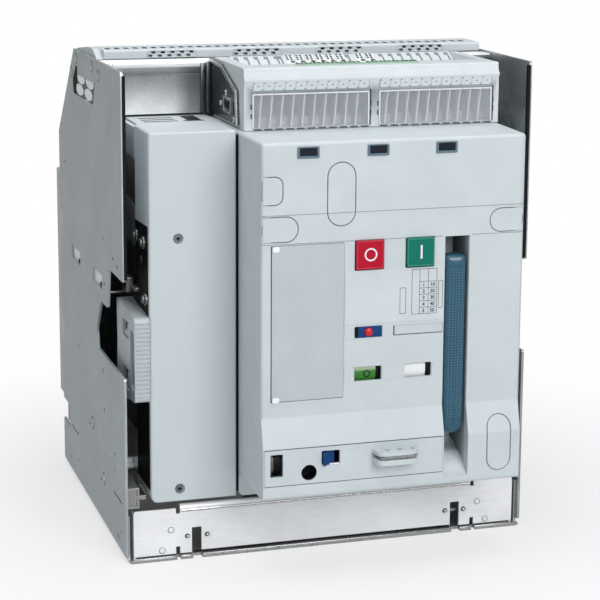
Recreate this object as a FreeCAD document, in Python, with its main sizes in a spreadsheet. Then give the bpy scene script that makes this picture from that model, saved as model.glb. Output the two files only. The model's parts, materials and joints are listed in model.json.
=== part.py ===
# Draw-out switch disconnector: a four-pole switch on a carriage, plugged into its fixed cradle.
# Millimetres. X runs from left to right, Y from front to rear, Z up.
# The origin lies on the underside of the cradle, midway between its side plates and midway along them.

import FreeCAD, Part
import math
import os
import Sketcher

POLES = 4
LENGTHS = {
    # side plates of the cradle
    "plate_span": 402,
    "plate_depth": 328,
    "plate_top": 465.5,
    "plate_foot": 5.5,
    "sheet": 2.5,
    "crown_depth": 232,
    "shoulder_height": 369,
    "bay_bottom": 180,
    "bay_top": 272,
    "bay_depth": 126,
    "beak_front": 66,
    "beak_rear": 106,
    "beak_bottom": 231.5,
    "lift_front": 120,
    "lift_rear": 240,
    "lift_bottom": 420,
    "lift_top": 449.5,
    "window_length": 49,
    "window_height": 14,
    "window_bottom": 244,
    # base pan, tray front and rails
    "pan_sheet": 2.5,
    "pan_flange": 45,
    "pan_lip": 3,
    "base_bolt_width": 300,
    "base_bolt_depth": 220,
    "base_bolt_radius": 4.5,
    "tray_half": 193,
    "tray_bottom": 4.4,
    "tray_top": 49.5,
    "tray_sheet": 2,
    "tray_setback": 2,
    "tray_centre": 148,
    "lip_radius": 3.8,
    "lip_top": 52.8,
    "key_near": 127,
    "key_far": 136.5,
    "key_top": 29.2,
    "tray_notch": 4,
    "rail_bottom": 52,
    "rail_height": 20,
    "rail_wall": 2,
    "rail_width": 12,
    "rail_setback": 5,
    "rail_web": 4,
    "ledge_reach": 180,
    "slide_gap": 0.3,
    # poles and terminals
    "pole_pitch": 86,
    "upper_terminal": 268.5,
    "lower_terminal": 152.5,
    "blade_width": 50,
    "blade_thick": 10,
    "blade_front": 272,
    "pad_width": 64,
    "pad_height": 56,
    "pad_thick": 10,
    "pad_bolt_width": 40,
    "pad_bolt_height": 35,
    "pad_bolt_radius": 4.2,
    # rear moulding and shutters
    "moulding_front": 290,
    "moulding_web": 300,
    "moulding_seat": 312,
    "moulding_rear": 350.5,
    "moulding_bottom": 79,
    "moulding_top": 326,
    "well_width": 76,
    "well_height": 72,
    "lug_half": 17.2,
    "lug_front": 314,
    "shutter_front": 264.5,
    "shutter_thick": 3,
    "shutter_half": 170,
    "shutter_below": 27,
    "shutter_above": 46,
    # hood, cross-member and terminal block over the front
    "hood_front": 126,
    "hood_top": 473,
    "hood_depth": 46,
    "hood_wall": 2.5,
    "hood_sill": 464.5,
    "hood_left": 190.6,
    "hood_gap": 1,
    "hood_rear": 232,
    "hood_eave": 466,
    "vent_first": 186.1,
    "vent_pitch": 9.2,
    "vent_width": 5,
    "fascia_pitch": 9.5,
    "hood_bottom": 420,
    "beam_front": 119,
    "beam_bottom": 411,
    "beam_bend": 7.5,
    "block_left": 85,
    "block_right": 167.5,
    "block_front": 2,
    "block_rear": 113,
    "block_bottom": 408,
    "block_top": 465.5,
    "bay_width": 115,
    "bay_height": 33,
    "bay_sill": 409.5,
    "bay_left": 77.5,
    "bay_gap": 8.5,
    "bay_depth_in": 42,
    "flap_thick": 1.5,
    # moving part: carriage, housing and covers
    "carriage_bottom": 57,
    "carriage_sheet": 2.5,
    "housing_wall": 4,
    "housing_front": 61,
    "housing_rear": 242,
    "housing_bottom": 112,
    "housing_top": 407,
    "back_thick": 6,
    "shaft_y": 118,
    "shaft_z": 185,
    "shaft_radius": 13,
    "running_gap": 0.08,
    "clamp_gap": 0.05,
    "arm_radius": 78,
    "arm_thick": 12,
    "open_angle": 30,
    "neutral_left": 175.5,
    "neutral_right": 93,
    "neutral_bottom": 57,
    "neutral_top": 409.5,
    "neutral_cut": 320.5,
    "mask_left": 90.5,
    "mask_right": 164,
    "mask_flare": 4,
    "mask_top": 407.5,
    "mask_bottom": 79,
    "mask_reach": 76,
    "mask_wall": 3,
    "chin_reach": 7.5,
    "chin_top": 154.5,
    "panel_top": 126,
    "panel_bottom": 92,
    "panel_left": 89.5,
    # charging handle and its well
    "well_left": 85.5,
    "well_right": 109.5,
    "well_top": 315,
    "well_floor": 34,
    "well_bottom": 104,
    "ramp_bottom": 86,
    "handle_y": 50,
    "handle_z": 140,
    "handle_top": 297,
    "handle_foot": 126,
    "handle_face": 78,
    "handle_back": 63,
    "handle_gap": 0.8,
    "handle_width": 20.5,
    "charge_radius": 8,
    # controls on the mask
    "control_left": 1.5,
    "control_width": 26.5,
    "control_step": 49,
    "button_bottom": 289,
    "flag_bottom": 183.5,
    "flag_height": 13.5,
    "reset_bottom": 224.5,
    "reset_height": 10.5,
    "reset_radius": 4,
    "fit_gap": 0.4,
    "button_proud": 2.5,
    "blank_left": 81,
    "blank_right": 12,
    "blank_bottom": 169.5,
    "blank_top": 314.5,
    "blank_thick": 2,
    "latch_width": 20,
    "latch_height": 10,
    "latch_bottom": 393,
    "latch_first": 57,
    "latch_step": 66,
    "flag_axis_y": 52,
    "flag_axis_z": 190.5,
    "flag_radius": 20,
    # lower panel: position window, crank hole, slider and padlock hasp
    "crank_x": 46.5,
    "crank_z": 102.5,
    "crank_radius": 7.4,
    "screw_radius": 6,
    "spindle_radius": 5,
    "slider_left": 34.5,
    "slider_width": 17.5,
    "slider_bottom": 108,
    "slider_height": 14,
    "drum_left": 83.5,
    "drum_width": 12,
    "drum_bottom": 100.5,
    "drum_height": 21.5,
    "hasp_left": 14.5,
    "hasp_width": 44,
    "hasp_reach": 15,
    "hasp_top": 120,
    "hasp_bottom": 107,
    "hasp_slot_low": 112,
    "hasp_slot_high": 116,
    "padlock_radius": 2.6,
    "padlock_pitch": 12.4,
    "padlock_first": 26,
    "padlock_y": 91,
    # side grips
    "grip_thick": 14.5,
    "grip_bottom": 145,
    "grip_front_bottom": 156,
    "grip_front_top": 236.5,
    "grip_top": 241,
    "grip_depth": 82,
}


class Size(float):
    """A length in millimetres that also knows how the sheet works it out."""

    def __new__(cls, value, text):
        length = super().__new__(cls, value)
        length.text = text
        return length

    def __add__(self, other):
        return worked_out(self, "+", other, float(self) + float(other))

    def __radd__(self, other):
        return worked_out(other, "+", self, float(other) + float(self))

    def __sub__(self, other):
        return worked_out(self, "-", other, float(self) - float(other))

    def __rsub__(self, other):
        return worked_out(other, "-", self, float(other) - float(self))

    def __mul__(self, other):
        return worked_out(self, "*", other, float(self) * float(other))

    def __rmul__(self, other):
        return worked_out(other, "*", self, float(other) * float(self))

    def __truediv__(self, other):
        return worked_out(self, "/", other, float(self) / float(other))

    def __neg__(self):
        return worked_out(0, "-", self, -float(self))


def text_of(value):
    return value.text if isinstance(value, Size) else repr(float(value))


def worked_out(left, sign, right, value):
    return Size(value, f"({text_of(left)} {sign} {text_of(right)})")


class Sizes:
    """Every driving dimension, by name, held in a cell of the document's sheet."""

    def __init__(self, document, lengths):
        sheet = document.addObject("Spreadsheet::Sheet", "Sizes")
        for row, (name, length) in enumerate(lengths.items(), start=1):
            sheet.set(f"A{row}", name)
            sheet.set(f"B{row}", str(length))
            sheet.setAlias(f"B{row}", name)
            setattr(self, name, Size(length, f"Sizes.{name}"))


doc = FreeCAD.newDocument("SwitchDisconnector")
d = Sizes(doc, LENGTHS)
doc.recompute()

FRONT = -d.plate_depth / 2
REAR = d.plate_depth / 2
INNER = d.plate_span / 2 - d.sheet
HOUSING_HALF = d.pole_pitch * (POLES / 2) + d.housing_wall
SIDES = (-1, 1)
POLE_X = [d.pole_pitch * (pole - (POLES - 1) / 2) for pole in range(POLES)]
LEVELS = (d.lower_terminal, d.upper_terminal)


def back(distance):
    """The Y of a point this far behind the front edges of the side plates."""
    return FRONT + distance


def bind(item, name, value):
    """Give a property its value, through the sheet where the value comes from there."""
    if isinstance(value, Size):
        item.setExpression(name, value.text)
    else:
        setattr(item, name, value)


# Sketch geometry. Each helper returns a drawing that a sketch carries out.

def hold(sketch, geometry, point, x, y):
    """Hold a sketch point at x, y from the sketch's origin."""
    for kind, value in (("DistanceX", x), ("DistanceY", y)):
        index = sketch.addConstraint(Sketcher.Constraint(kind, -1, 1, geometry, point, float(value)))
        if isinstance(value, Size):
            sketch.setExpression(f"Constraints[{index}]", value.text)


def measure(sketch, geometry, radius):
    """Give an arc or circle its radius."""
    index = sketch.addConstraint(Sketcher.Constraint("Radius", geometry, float(radius)))
    if isinstance(radius, Size):
        sketch.setExpression(f"Constraints[{index}]", radius.text)


def disc(x, y, radius):
    """A circle."""
    def draw(sketch):
        circle = Part.Circle(FreeCAD.Vector(x, y, 0), FreeCAD.Vector(0, 0, 1), float(radius))
        geometry = sketch.addGeometry(circle)
        hold(sketch, geometry, 3, x, y)
        measure(sketch, geometry, radius)
    return draw


def corner_arc(before, corner, after, radius):
    """Where the rounding of a corner starts and ends, its centre, and whether it turns left."""
    into = (before - corner).normalize()
    out = (after - corner).normalize()
    half = into.getAngle(out) / 2
    run = radius / math.tan(half)
    middle = (into + out).normalize() * (radius / math.sin(half))
    turns_left = (corner - before).cross(after - corner).z > 0
    return corner + into * run, corner + out * run, corner + middle, turns_left


def loop(*corners):
    """A closed outline through corners (x, y) or, where one is rounded, (x, y, radius)."""
    def draw(sketch):
        points = [FreeCAD.Vector(float(corner[0]), float(corner[1]), 0) for corner in corners]
        count = len(points)
        starts, ends, arcs = [], [], []
        for index, corner in enumerate(corners):
            if len(corner) == 2:
                starts.append(points[index])
                ends.append(points[index])
                arcs.append(None)
                continue
            before, after = points[index - 1], points[(index + 1) % count]
            start, end, centre, turns_left = corner_arc(before, points[index], after, float(corner[2]))
            starts.append(start)
            ends.append(end)
            first, last = (start, end) if turns_left else (end, start)
            spokes = [math.atan2(spot.y - centre.y, spot.x - centre.x) for spot in (first, last)]
            circle = Part.Circle(centre, FreeCAD.Vector(0, 0, 1), float(corner[2]))
            geometry = sketch.addGeometry(Part.ArcOfCircle(circle, *spokes))
            arcs.append((geometry, 1 if turns_left else 2, 2 if turns_left else 1))
        lines = []
        for index in range(count):
            line = Part.LineSegment(ends[index], starts[(index + 1) % count])
            lines.append(sketch.addGeometry(line))
        for index, corner in enumerate(corners):
            if arcs[index] is None:
                joint = Sketcher.Constraint("Coincident", lines[index - 1], 2, lines[index], 1)
                sketch.addConstraint(joint)
                hold(sketch, lines[index], 1, corner[0], corner[1])
                continue
            arc, arc_start, arc_end = arcs[index]
            mark = sketch.addGeometry(Part.Point(points[index]), True)
            sketch.addConstraint(Sketcher.Constraint("PointOnObject", mark, 1, lines[index - 1]))
            sketch.addConstraint(Sketcher.Constraint("PointOnObject", mark, 1, lines[index]))
            sketch.addConstraint(Sketcher.Constraint("Tangent", lines[index - 1], 2, arc, arc_start))
            sketch.addConstraint(Sketcher.Constraint("Tangent", arc, arc_end, lines[index], 1))
            measure(sketch, arc, corner[2])
            hold(sketch, mark, 1, corner[0], corner[1])
    return draw


def panel(low_x, low_y, high_x, high_y, radius=None):
    """A rectangle, with rounded corners if a radius is given."""
    corners = [(low_x, low_y), (high_x, low_y), (high_x, high_y), (low_x, high_y)]
    if radius is not None:
        corners = [corner + (radius,) for corner in corners]
    return loop(*corners)


def slot(start_x, start_y, end_x, end_y, radius):
    """A round-ended slot between two centres, along either axis."""
    upright = abs(float(end_x) - float(start_x)) < abs(float(end_y) - float(start_y))

    def draw(sketch):
        axis = FreeCAD.Vector(0, 0, 1)
        start, end = FreeCAD.Vector(start_x, start_y, 0), FreeCAD.Vector(end_x, end_y, 0)
        side = FreeCAD.Vector(1, 0, 0) if upright else FreeCAD.Vector(0, -1, 0)
        side = side * float(radius)
        turn = 0 if upright else -math.pi / 2
        arcs = []
        for centre, first in ((end, turn), (start, turn + math.pi)):
            circle = Part.Circle(centre, axis, float(radius))
            arcs.append(sketch.addGeometry(Part.ArcOfCircle(circle, first, first + math.pi)))
        right = sketch.addGeometry(Part.LineSegment(start + side, end + side))
        left = sketch.addGeometry(Part.LineSegment(end - side, start - side))
        for line, arc, following in ((right, arcs[0], left), (left, arcs[1], right)):
            sketch.addConstraint(Sketcher.Constraint("Tangent", line, 2, arc, 1))
            sketch.addConstraint(Sketcher.Constraint("Tangent", arc, 2, following, 1))
        measure(sketch, arcs[0], radius)
        hold(sketch, arcs[0], 3, end_x, end_y)
        hold(sketch, arcs[1], 3, start_x, start_y)
    return draw


# Solids. A body is sketched on its own planes; low and high are the ends of each feature along its axis.

PLANES = {"x": ("YZ_Plane", 1), "y": ("XZ_Plane", -1), "z": ("XY_Plane", 1)}


def new_body(name):
    piece = doc.addObject("PartDesign::Body", name)
    piece.Label = name
    return piece


def sketch_at(piece, axis, place, drawings):
    """A sketch across the axis, at this place along it."""
    role, sense = PLANES[axis]
    sketch = piece.newObject("Sketcher::SketchObject", piece.Name + "_sketch")
    plane = next(item for item in piece.Origin.OriginFeatures if item.Role == role)
    sketch.AttachmentSupport = (plane, [""])
    sketch.MapMode = "FlatFace"
    offset = place if sense > 0 else -place
    sketch.AttachmentOffset = FreeCAD.Placement(FreeCAD.Vector(0, 0, float(offset)), FreeCAD.Rotation())
    if isinstance(offset, Size):
        sketch.setExpression("AttachmentOffset.Base.z", offset.text)
    for draw in drawings:
        draw(sketch)
    return sketch


def prism(piece, axis, low, high, *drawings):
    """Add a pad between low and high."""
    sketch = sketch_at(piece, axis, high if axis == "y" else low, drawings)
    pad = piece.newObject("PartDesign::Pad", piece.Name + "_pad")
    pad.Profile = sketch
    bind(pad, "Length", high - low)
    sketch.Visibility = False
    return pad


def carve(piece, axis, low, high, *drawings):
    """Cut a pocket between low and high."""
    sketch = sketch_at(piece, axis, low if axis == "y" else high, drawings)
    pocket = piece.newObject("PartDesign::Pocket", piece.Name + "_pocket")
    pocket.Profile = sketch
    bind(pocket, "Length", high - low)
    return pocket


def row(piece, feature, length, count):
    """Repeat a feature over this length, along its sketch's own first axis."""
    pattern = piece.newObject("PartDesign::LinearPattern", piece.Name + "_row")
    pattern.Originals = [feature]
    pattern.Direction = (feature.Profile[0], ["H_Axis"])
    bind(pattern, "Length", length)
    pattern.Occurrences = count
    piece.Tip = pattern
    return pattern


def column(piece, feature, length, count):
    """Repeat a feature over this length, along its sketch's own second axis."""
    pattern = row(piece, feature, length, count)
    pattern.Direction = (feature.Profile[0], ["V_Axis"])
    return pattern


def lies_along(edge, axis):
    """Whether a straight edge runs along the axis."""
    if edge.Curve.TypeId != "Part::GeomLine":
        return False
    run = edge.Vertexes[-1].Point - edge.Vertexes[0].Point
    return abs(getattr(run, axis)) > 0.999 * run.Length


def soften(piece, kind, size, axis, **places):
    """Fillet or chamfer the straight edges along the axis whose middles lie at the given places."""
    doc.recompute()
    base = piece.Tip
    names = []
    for number, edge in enumerate(base.Shape.Edges, start=1):
        if not lies_along(edge, axis):
            continue
        middle = (edge.Vertexes[0].Point + edge.Vertexes[-1].Point) / 2
        if all(abs(getattr(middle, name) - float(place)) < 0.01 for name, place in places.items()):
            names.append(f"Edge{number}")
    feature = piece.newObject(f"PartDesign::{kind}", piece.Name + "_edge")
    feature.Base = (base, names)
    bind(feature, "Radius" if kind == "Fillet" else "Size", size)
    return feature


def place(item, x, y, z):
    """Put an item's own origin at x, y, z."""
    base = FreeCAD.Vector(float(x), float(y), float(z))
    item.Placement = FreeCAD.Placement(base, item.Placement.Rotation)
    for name, value in (("x", x), ("y", y), ("z", z)):
        if isinstance(value, Size):
            item.setExpression(f"Placement.Base.{name}", value.text)


def box(name, x, y, z):
    """A box between the given pairs of ends."""
    item = doc.addObject("Part::Box", name)
    for side, (low, high) in (("Length", x), ("Width", y), ("Height", z)):
        bind(item, side, high - low)
    place(item, x[0], y[0], z[0])
    return item


TURNS = {
    "x": FreeCAD.Rotation(FreeCAD.Vector(0, 1, 0), 90),
    "y": FreeCAD.Rotation(FreeCAD.Vector(1, 0, 0), -90),
    "z": FreeCAD.Rotation(),
}


def rod(name, axis, start, length, radius):
    """A cylinder that starts at a point and runs along the axis."""
    item = doc.addObject("Part::Cylinder", name)
    bind(item, "Height", length)
    bind(item, "Radius", radius)
    item.Placement = FreeCAD.Placement(FreeCAD.Vector(*[float(value) for value in start]), TURNS[axis])
    place(item, *start)
    return item


def cut(name, base, *tools):
    item = doc.addObject("Part::Cut", name)
    item.Label = name
    item.Base = base
    item.Tool = tools[0] if len(tools) == 1 else fuse(name + "_tools", *tools)
    return item


def fuse(name, *parts):
    item = doc.addObject("Part::MultiFuse", name)
    item.Label = name
    item.Shapes = list(parts)
    return item


def group(name, parts):
    """Like pieces of one kind, kept as separate solids in one node."""
    item = doc.addObject("Part::Compound", name)
    item.Label = name
    item.Links = list(parts)
    return item


# Cradle. Small holes of the side plates: distance back, height and radius.

PLATE_HOLES = (
    (89, 297, 1.8), (234, 154.5, 2.2), (99, 163, 2.2), (312, 378, 3), (98, 123, 2.4), (287, 18, 2.2),
    (245, 26.5, 1.5), (155, 55.5, 1.5), (97, 79, 1.5), (48, 93.5, 2), (48, 78, 1.6), (158.5, 25.5, 1.6),
    (20.5, 25, 1.8), (35, 15.5, 2.8),
)


def side_plate(name, side):
    """Sheet side wall with its front bay, lifting window and rear notches for the terminals."""
    plate = new_body(name)
    low = -d.plate_span / 2 if side < 0 else INNER
    high = low + d.sheet
    notches = []
    for middle in LEVELS:
        for level in (middle - d.lug_half - d.slide_gap, middle + d.lug_half + d.slide_gap):
            notches.append((level, d.lug_front))
    outline = [(FRONT, d.plate_foot, 2), (REAR, d.plate_foot, 4)]
    outline += [(REAR, 51), (back(289), 51), (back(289), 74.5), (REAR, 74.5)]
    for (below, depth), (above, _) in (notches[0:2], notches[2:4]):
        inside = back(depth) - d.slide_gap
        outline += [(REAR, below), (inside, below), (inside, above), (REAR, above)]
    outline += [
        (REAR, d.shoulder_height),
        (back(d.crown_depth), d.plate_top),
        (FRONT, d.plate_top, 3),
        (FRONT, d.bay_top, 2),
        (back(d.beak_front), d.bay_top, 3),
        (back(d.beak_front) + 8, d.beak_bottom, 4),
        (back(d.beak_rear), d.beak_bottom, 4),
        (back(d.bay_depth) + 4, d.bay_bottom + 18, 10),
        (back(d.bay_depth), d.bay_bottom),
        (FRONT, d.bay_bottom, 2),
    ]
    prism(plate, "x", low, high, loop(*outline))
    lift = loop(
        (back(d.lift_front), d.lift_top - 6, 3),
        (back(d.lift_front) + 11, d.lift_bottom, 4),
        (back(d.lift_rear) - 4, d.lift_bottom, 3),
        (back(d.lift_rear), d.lift_bottom + 14, 4),
        (back(d.lift_rear) - 18, d.lift_top, 5),
        (back(d.lift_front) + 5, d.lift_top, 4),
    )
    openings = [lift]
    window_top = d.window_bottom + d.window_height
    for start in (99, 214):
        openings.append(panel(back(start), d.window_bottom, back(start) + d.window_length, window_top, 1))
    openings.append(slot(back(242), 56, back(280), 56, 1))
    openings.append(slot(back(16), 54, back(55), 54, 1))
    for reach, height, radius in PLATE_HOLES:
        openings.append(disc(back(reach), height, radius))
    carve(plate, "x", low, high, *openings)
    return plate


def base_pan():
    """Folded floor of the cradle with its notched front lip and four fixing holes."""
    pan = new_body("base_pan")
    half, wall = INNER, d.pan_sheet
    prism(pan, "y", FRONT - d.pan_lip, REAR - 3, loop(
        (-half, 0, 3), (half, 0, 3), (half, d.pan_flange), (half - wall, d.pan_flange),
        (half - wall, wall), (-half + wall, wall), (-half + wall, d.pan_flange), (-half, d.pan_flange),
    ))
    lip = panel(FRONT - d.pan_lip - 1, wall, back(4), d.pan_flange + 1)
    carve(pan, "x", -half - 1, half + 1, lip)
    bolts = []
    for side_x in SIDES:
        for side_y in SIDES:
            bolts.append(disc(d.base_bolt_width / 2 * side_x, d.base_bolt_depth / 2 * side_y, d.base_bolt_radius))
    notches = []
    for near, far in ((d.key_near, d.key_far), (d.tray_centre, d.tray_centre + d.tray_notch)):
        for side in SIDES:
            ends = sorted((near * side, far * side))
            notches.append(panel(ends[0], FRONT - d.pan_lip - 1, ends[1], back(4)))
    carve(pan, "z", 0, wall, *bolts, *notches)
    return pan


def tray_front():
    """Front strip of the tray with its rolled top edge and the keyhole notches."""
    tray = new_body("tray_front")
    near, far = back(d.tray_setback), back(d.tray_setback) + d.tray_sheet
    notch = d.tray_notch
    side_notches = []
    for side in (1, -1):
        edge, inner = d.tray_centre * side + notch * side, d.tray_centre * side
        pair = [(edge, d.tray_bottom), (edge, d.tray_bottom + 7), (inner, d.tray_bottom + 7), (inner, d.tray_bottom)]
        side_notches.append(pair)
    keys = []
    for side in (1, -1):
        ends = (d.key_far * side, d.key_near * side)
        keys.append([(ends[0], d.tray_bottom), (ends[0], d.key_top), (ends[1], d.key_top), (ends[1], d.tray_bottom)])
    bottom = side_notches[0] + keys[0]
    bottom += [(x, z) for x, z in reversed(keys[1])] + [(x, z) for x, z in reversed(side_notches[1])]
    top_notch = d.tray_top - 5.5
    outline = [(d.tray_half, d.tray_bottom, 1)] + bottom + [
        (-d.tray_half, d.tray_bottom, 1), (-d.tray_half, d.tray_top, 2.5),
        (-d.tray_centre - notch, d.tray_top), (-d.tray_centre - notch, top_notch),
        (-d.tray_centre, top_notch), (-d.tray_centre, d.lip_top - d.lip_radius),
        (d.tray_centre, d.lip_top - d.lip_radius), (d.tray_centre, top_notch),
        (d.tray_centre + notch, top_notch), (d.tray_centre + notch, d.tray_top), (d.tray_half, d.tray_top, 2.5),
    ]
    prism(tray, "y", near, far, loop(*outline))
    middle = d.lip_top - d.lip_radius
    prism(tray, "x", -d.tray_centre, d.tray_centre, disc(far + 1, middle, d.lip_radius))
    for side in SIDES:
        ends = sorted((d.tray_half * side, (d.tray_half - d.tray_sheet) * side))
        prism(tray, "x", ends[0], ends[1], panel(near + 1, d.pan_sheet, near + 18, d.tray_top - 3))
    holes = [disc(x * side, 21, 2.4) for x in (121.5, 141) for side in SIDES]
    carve(tray, "y", near, far, *holes)
    return tray


def rail_guide(side):
    """Fixed channel, screwed inside a side plate, in which the extension rail slides."""
    guide = new_body("rail_guide")
    top = d.rail_bottom + d.rail_height
    outer, inner = INNER * side, (INNER - d.rail_width) * side
    web = d.rail_wall * side
    slit_low = d.rail_bottom + d.rail_height / 2 - d.rail_web / 2 - d.slide_gap
    slit_high = slit_low + d.rail_web + 2 * d.slide_gap
    prism(guide, "y", back(d.rail_setback), REAR - 12, loop(
        (outer, d.rail_bottom), (outer, top), (inner, top), (inner, slit_high), (inner + web, slit_high),
        (inner + web, top - d.rail_wall), (outer - web, top - d.rail_wall),
        (outer - web, d.rail_bottom + d.rail_wall), (inner + web, d.rail_bottom + d.rail_wall),
        (inner + web, slit_low), (inner, slit_low), (inner, d.rail_bottom),
    ))
    return guide


def extension_rail(name, side):
    """Sliding rail: a bar in the channel and a ledge that carries the moving part."""
    rail = new_body(name)
    head_low = d.rail_bottom + d.rail_wall + d.slide_gap
    head_high = d.rail_bottom + d.rail_height - d.rail_wall - d.slide_gap
    outer = (INNER - d.rail_wall - d.slide_gap) * side
    inner = (INNER - d.rail_width + d.rail_wall + d.slide_gap) * side
    web_low = d.rail_bottom + d.rail_height / 2 - d.rail_web / 2
    web_high = web_low + d.rail_web
    tip = d.ledge_reach * side
    prism(rail, "y", back(d.rail_setback + 1), back(300), loop(
        (outer, head_low), (outer, head_high), (inner, head_high), (inner, web_high), (tip, web_high),
        (tip, web_low), (inner, web_low), (inner, head_low),
    ))
    return rail


def rear_moulding():
    """Insulating rear wall with a well for each terminal and a pocket for each cluster of fingers."""
    wall = new_body("rear_moulding")
    half = d.plate_span / 2
    prism(wall, "z", d.moulding_bottom, d.moulding_top, loop(
        (-INNER, back(d.moulding_front)), (INNER, back(d.moulding_front)), (INNER, REAR + d.slide_gap),
        (half, REAR + d.slide_gap), (half, back(d.moulding_rear), 4), (-half, back(d.moulding_rear), 4),
        (-half, REAR + d.slide_gap), (-INNER, REAR + d.slide_gap),
    ))
    for side in SIDES:
        ends = sorted((INNER * side, half * side))
        for level in LEVELS:
            lug = panel(back(d.lug_front), level - d.lug_half, REAR + 1, level + d.lug_half)
            prism(wall, "x", ends[0], ends[1], lug)
    wells, pockets, throats = [], [], []
    for x in POLE_X:
        for level in LEVELS:
            wells.append(panel(
                x - d.well_width / 2, level - d.well_height / 2,
                x + d.well_width / 2, level + d.well_height / 2, 4))
            pockets.append(panel(x - 33, level - 22, x + 33, level + 22))
            throats.append(panel(
                x - d.blade_width / 2 - d.slide_gap, level - d.blade_thick / 2 - d.slide_gap,
                x + d.blade_width / 2 + d.slide_gap, level + d.blade_thick / 2 + d.slide_gap))
    carve(wall, "y", back(d.moulding_seat), back(d.moulding_rear), *wells)
    carve(wall, "y", back(d.moulding_front), back(d.moulding_web), *pockets)
    carve(wall, "y", back(d.moulding_web), back(d.moulding_seat), *throats)
    return wall


def fixed_contact(name, x, level):
    """Blade towards the moving part, and a bolted pad for the outside conductor."""
    contact = new_body(name)
    half = d.blade_thick / 2
    prism(contact, "x", x - d.blade_width / 2, x + d.blade_width / 2, loop(
        (back(d.blade_front), level - 1.5), (back(d.blade_front) + 6, level - half),
        (back(d.moulding_seat) + 1, level - half), (back(d.moulding_seat) + 1, level + half),
        (back(d.blade_front) + 6, level + half), (back(d.blade_front), level + 1.5),
    ))
    prism(contact, "y", back(d.moulding_seat), back(d.moulding_seat) + d.pad_thick, panel(
        x - d.pad_width / 2, level - d.pad_height / 2, x + d.pad_width / 2, level + d.pad_height / 2, 3))
    holes = []
    for side_x in SIDES:
        for side_z in SIDES:
            holes.append(disc(
                x + d.pad_bolt_width / 2 * side_x, level + d.pad_bolt_height / 2 * side_z, d.pad_bolt_radius))
    carve(contact, "y", back(d.moulding_seat), back(d.moulding_seat) + d.pad_thick, *holes)
    return contact


def shutter(name, level):
    """Insulating shutter whose windows let the fingers through while the switch is plugged in."""
    plate = new_body(name)
    low = back(d.shutter_front)
    high = low + d.shutter_thick
    prism(plate, "y", low, high, panel(
        -d.shutter_half, level - d.shutter_below, d.shutter_half, level + d.shutter_above, 3))
    windows = [panel(x - 30, level - 17, x + 30, level + 24, 2) for x in POLE_X]
    carve(plate, "y", low, high, *windows)
    return plate


def shutter_guide(side):
    """Grooved upright that holds one end of both shutters."""
    guide = new_body("shutter_guide")
    inner, outer = (d.shutter_half - 3) * side, (d.shutter_half + 7) * side
    groove = (d.shutter_half + 0.5) * side
    near = back(d.shutter_front) - d.slide_gap
    far = near + d.shutter_thick + 2 * d.slide_gap
    seat = back(d.moulding_front)
    prism(guide, "z", d.moulding_bottom + 8, d.moulding_top - 4, loop(
        (inner, near - 3), (outer, near - 3), (outer, seat), (inner, seat), (inner, far), (groove, far),
        (groove, near), (inner, near),
    ))
    return guide


def hood():
    """Vented cover over the arc chutes, carried by the cross-member."""
    cover = new_body("vented_hood")
    wall = d.hood_wall
    top_rear = back(d.hood_front + d.hood_depth)
    half = INNER - d.hood_gap
    front, rear = back(d.hood_front), back(d.hood_rear)
    prism(cover, "x", -d.hood_left, half, loop(
        (front, d.hood_sill), (front, d.hood_top, 2), (top_rear, d.hood_top, 2), (top_rear, d.hood_sill),
    ))
    prism(cover, "x", -half, half, loop(
        (front + 1, d.hood_sill), (front + 22, d.hood_top - 0.3), (top_rear, d.hood_top - 0.3),
        (rear, d.hood_eave, 3), (rear, d.hood_bottom), (top_rear - 20, d.hood_bottom),
        (top_rear - 20, d.hood_sill),
    ))
    carve(cover, "x", -d.hood_left + wall, half - wall, loop(
        (front + wall, d.hood_sill), (front + wall, d.hood_top - wall),
        (top_rear - wall, d.hood_top - wall), (top_rear - wall, d.hood_sill),
    ))
    carve(cover, "x", -half + wall, half - wall, loop(
        (top_rear - 20 + wall, d.hood_top - wall - 0.3), (top_rear, d.hood_top - wall - 0.3),
        (rear - wall, d.hood_eave - wall), (rear - wall, d.hood_bottom), (top_rear - 20 + wall, d.hood_bottom),
    ))
    vent = carve(cover, "z", d.hood_top - wall, d.hood_top, panel(
        -d.vent_first, front + 13, -d.vent_first + d.vent_width, front + 26))
    row(cover, vent, d.vent_pitch * 40, 41)
    for x in POLE_X:
        for start, low in ((x - 18.5, d.hood_sill + 1.3), (x - 15.4, d.hood_sill + 4.6)):
            hole = carve(cover, "y", front, front + wall, loop(
                (start + 0.8, low), (start + 4.2, low), (start + 4.6, low + 1), (start + 3.8, low + 2.3),
                (start + 0.4, low + 2.3), (start, low + 1.3)))
            row(cover, hole, d.fascia_pitch * 4, 5)
    ovals = [slot(back(166 + 15 * step), d.hood_bottom + 10, back(166 + 15 * step), d.hood_bottom + 24, 4.5)
             for step in range(4)]
    for side in SIDES:
        ends = sorted((half * side, (half - wall) * side))
        carve(cover, "x", ends[0], ends[1], *ovals)
    return cover


def cross_member():
    """Folded beam that ties the side plates together over the moving part."""
    beam = new_body("cross_member")
    wall = 2
    near, top = back(d.beam_front), d.hood_sill
    bend = d.beam_bend
    prism(beam, "x", -INNER, INNER, loop(
        (near, d.beam_bottom), (near, top - bend, 3), (near + bend, top, 3), (near + 32, top),
        (near + 32, top - wall), (near + bend + 0.8, top - wall), (near + wall, top - bend - 0.8),
        (near + wall, d.beam_bottom),
    ))
    return beam


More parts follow.
